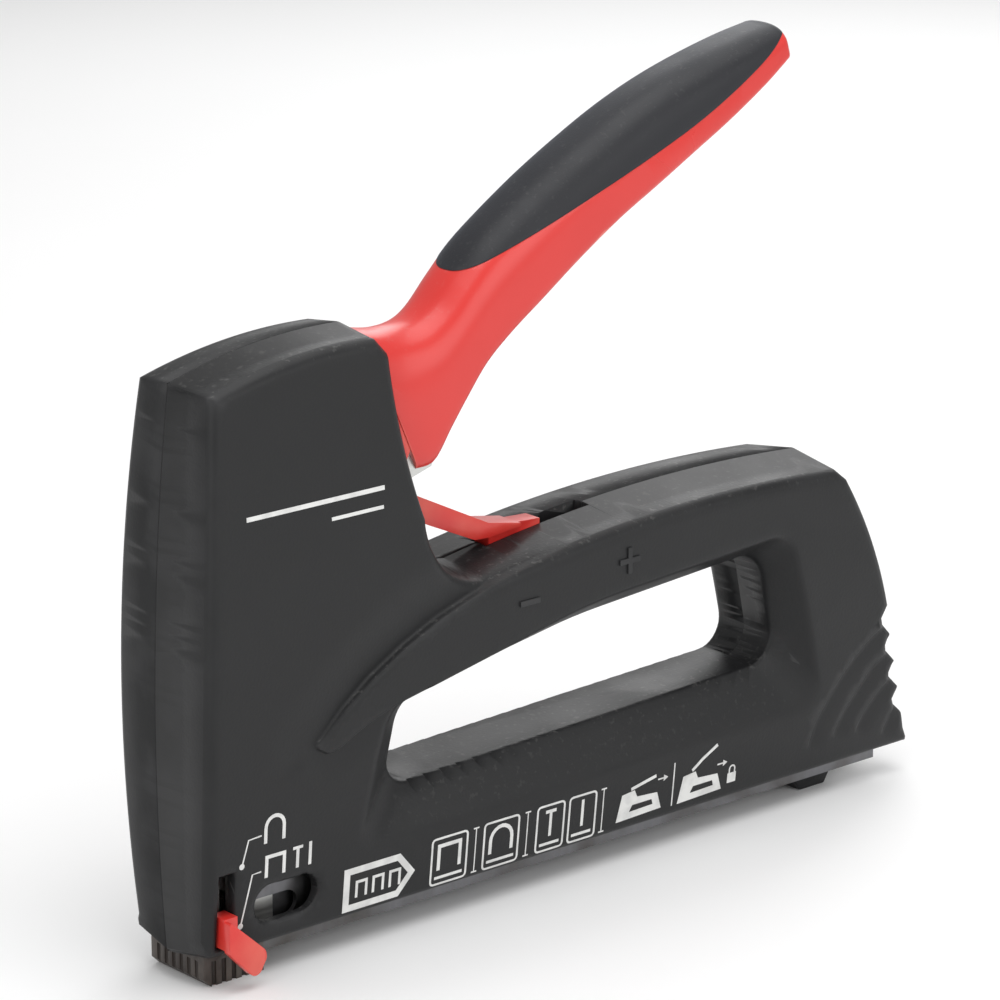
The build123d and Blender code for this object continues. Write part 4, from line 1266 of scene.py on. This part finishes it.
def screwTree(form):
    t = bpy.data.node_groups.new("screwSet", "GeometryNodeTree")
    addSocket(t, "Geometry", "INPUT", "Geometry")
    addSocket(t, "Size", "INPUT", "Float", 1.0)
    addSocket(t, "Seed", "INPUT", "Int", 4)
    addSocket(t, "Geometry", "OUTPUT", "Geometry")
    i = put(t, "NodeGroupInput")
    o = put(t, "NodeGroupOutput")
    info = put(t, "GeometryNodeObjectInfo")
    info.inputs["Object"].default_value = form
    twist = put(t, "FunctionNodeRandomValue", data_type="FLOAT")
    for s in twist.inputs:
        if s.name == "Max" and s.type == "VALUE":
            s.default_value = 1.5
    t.links.new(i.outputs["Seed"], twist.inputs["Seed"])
    turn = put(t, "ShaderNodeCombineXYZ")
    turn.inputs["X"].default_value = -pi / 2
    spin = next(s for s in twist.outputs if s.type == "VALUE")
    t.links.new(spin, turn.inputs["Y"])
    on = put(t, "GeometryNodeInstanceOnPoints")
    t.links.new(i.outputs["Geometry"], on.inputs["Points"])
    t.links.new(info.outputs["Geometry"], on.inputs["Instance"])
    t.links.new(turn.outputs[0], on.inputs["Rotation"])
    t.links.new(i.outputs["Size"], on.inputs["Scale"])
    real = put(t, "GeometryNodeRealizeInstances")
    t.links.new(on.outputs["Instances"], real.inputs["Geometry"])
    paint = put(t, "GeometryNodeSetMaterial")
    paint.inputs["Material"].default_value = zincSteel
    t.links.new(real.outputs["Geometry"], paint.inputs["Geometry"])
    t.links.new(paint.outputs["Geometry"], o.inputs["Geometry"])
    return t


screwForm = makeScrew()
seats = [spot(x, z, float(halfWidth(np.array([z]))[0]) - screwSink) for x, z in screwPlaces]
screws = newMesh("caseScrews", seats, [], zincSteel)
grow = screws.modifiers.new("grow", "NODES")
grow.node_group = screwTree(screwForm)
settle(screws)
drop(screwForm)
smoothByAngle(screws, 35)
place(screws, "casing", "screw_zinc", "casing_screws")
print("screws set")


def shortening(node, name):
    o = copyOf(node, name)
    dress(o, springSteel)
    smoothByAngle(o, 60)
    place(o, nodes[node]["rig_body"], "spring_steel", node)
    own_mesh(o)


low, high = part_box("mainspring")
shortening("mainspring", "driveSpring")
low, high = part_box("pusher_spring")
shortening("pusher_spring", "feedSpring")
print("springs set")


# floor, light and camera
def makeStage():
    bpy.ops.mesh.primitive_plane_add(size=1)
    floor = bpy.context.object
    floor.name = "floor"
    floor.data.transform(Matrix.Diagonal((6.0, 6.0, 1.0, 1.0)))
    m, t, s = startMaterial("paleFloor")
    n = put(t, "ShaderNodeTexNoise")
    n.inputs["Scale"].default_value = 6.0
    t.links.new(put(t, "ShaderNodeTexCoord").outputs["Object"], n.inputs["Vector"])
    t.links.new(mixColour(t, n.outputs["Fac"], (0.90, 0.90, 0.90), (0.93, 0.93, 0.93)), s.inputs["Base Color"])
    s.inputs["Roughness"].default_value = 0.75
    s.inputs["Specular IOR Level"].default_value = 0.2
    dress(floor, m)
    world = bpy.data.worlds.new("studio")
    world.use_nodes = True
    back = world.node_tree.nodes["Background"]
    back.inputs["Color"].default_value = (1.0, 1.0, 1.0, 1.0)
    back.inputs["Strength"].default_value = stageLook["world"]
    scene.world = world
    for name, (where, aim, size, power, tint) in stageLook["lamps"].items():
        lamp = bpy.data.lights.new(name, "AREA")
        lamp.shape = "RECTANGLE"
        lamp.size, lamp.size_y = size
        lamp.energy = power
        lamp.color = tint
        o = bpy.data.objects.new(name, lamp)
        scene.collection.objects.link(o)
        o.location = where
        o.rotation_euler = (Vector(aim) - Vector(where)).to_track_quat("-Z", "Y").to_euler()


stageLook = dict(
    world=0.45,
    lamps=dict(
        topSoftbox=((0.10, -0.15, 0.95), (0.09, 0.0, 0.08), (0.9, 0.9), 6.0, (1.0, 1.0, 1.0)),
        frontSoftbox=((-0.75, -0.35, 0.45), (0.05, 0.0, 0.08), (0.6, 0.7), 2.2, (1.0, 1.0, 1.0)),
        sideSoftbox=((0.35, -0.95, 0.40), (0.09, 0.0, 0.07), (0.9, 0.5), 2.5, (1.0, 1.0, 1.0)),
        rearSoftbox=((0.80, 0.55, 0.60), (0.10, 0.0, 0.08), (0.6, 0.6), 3.0, (1.0, 1.0, 1.0)),
    ),
)
makeStage()

camera = bpy.data.cameras.new("camera")
camera.lens = 163.8
camera.sensor_width = 36.0
camera.clip_start = 0.05
cameraObject = bpy.data.objects.new("camera", camera)
scene.collection.objects.link(cameraObject)
cameraObject.matrix_world = Matrix((
    (0.75470958, 0.18742843, -0.62871618, -0.488375),
    (-0.65605903, 0.21561175, -0.72325523, -0.650166),
    (0.0, 0.95832257, 0.28568837, 0.335893),
    (0.0, 0.0, 0.0, 1.0),
))
scene.camera = cameraObject
scene.view_settings.view_transform = "Standard"
print("stage and camera made")
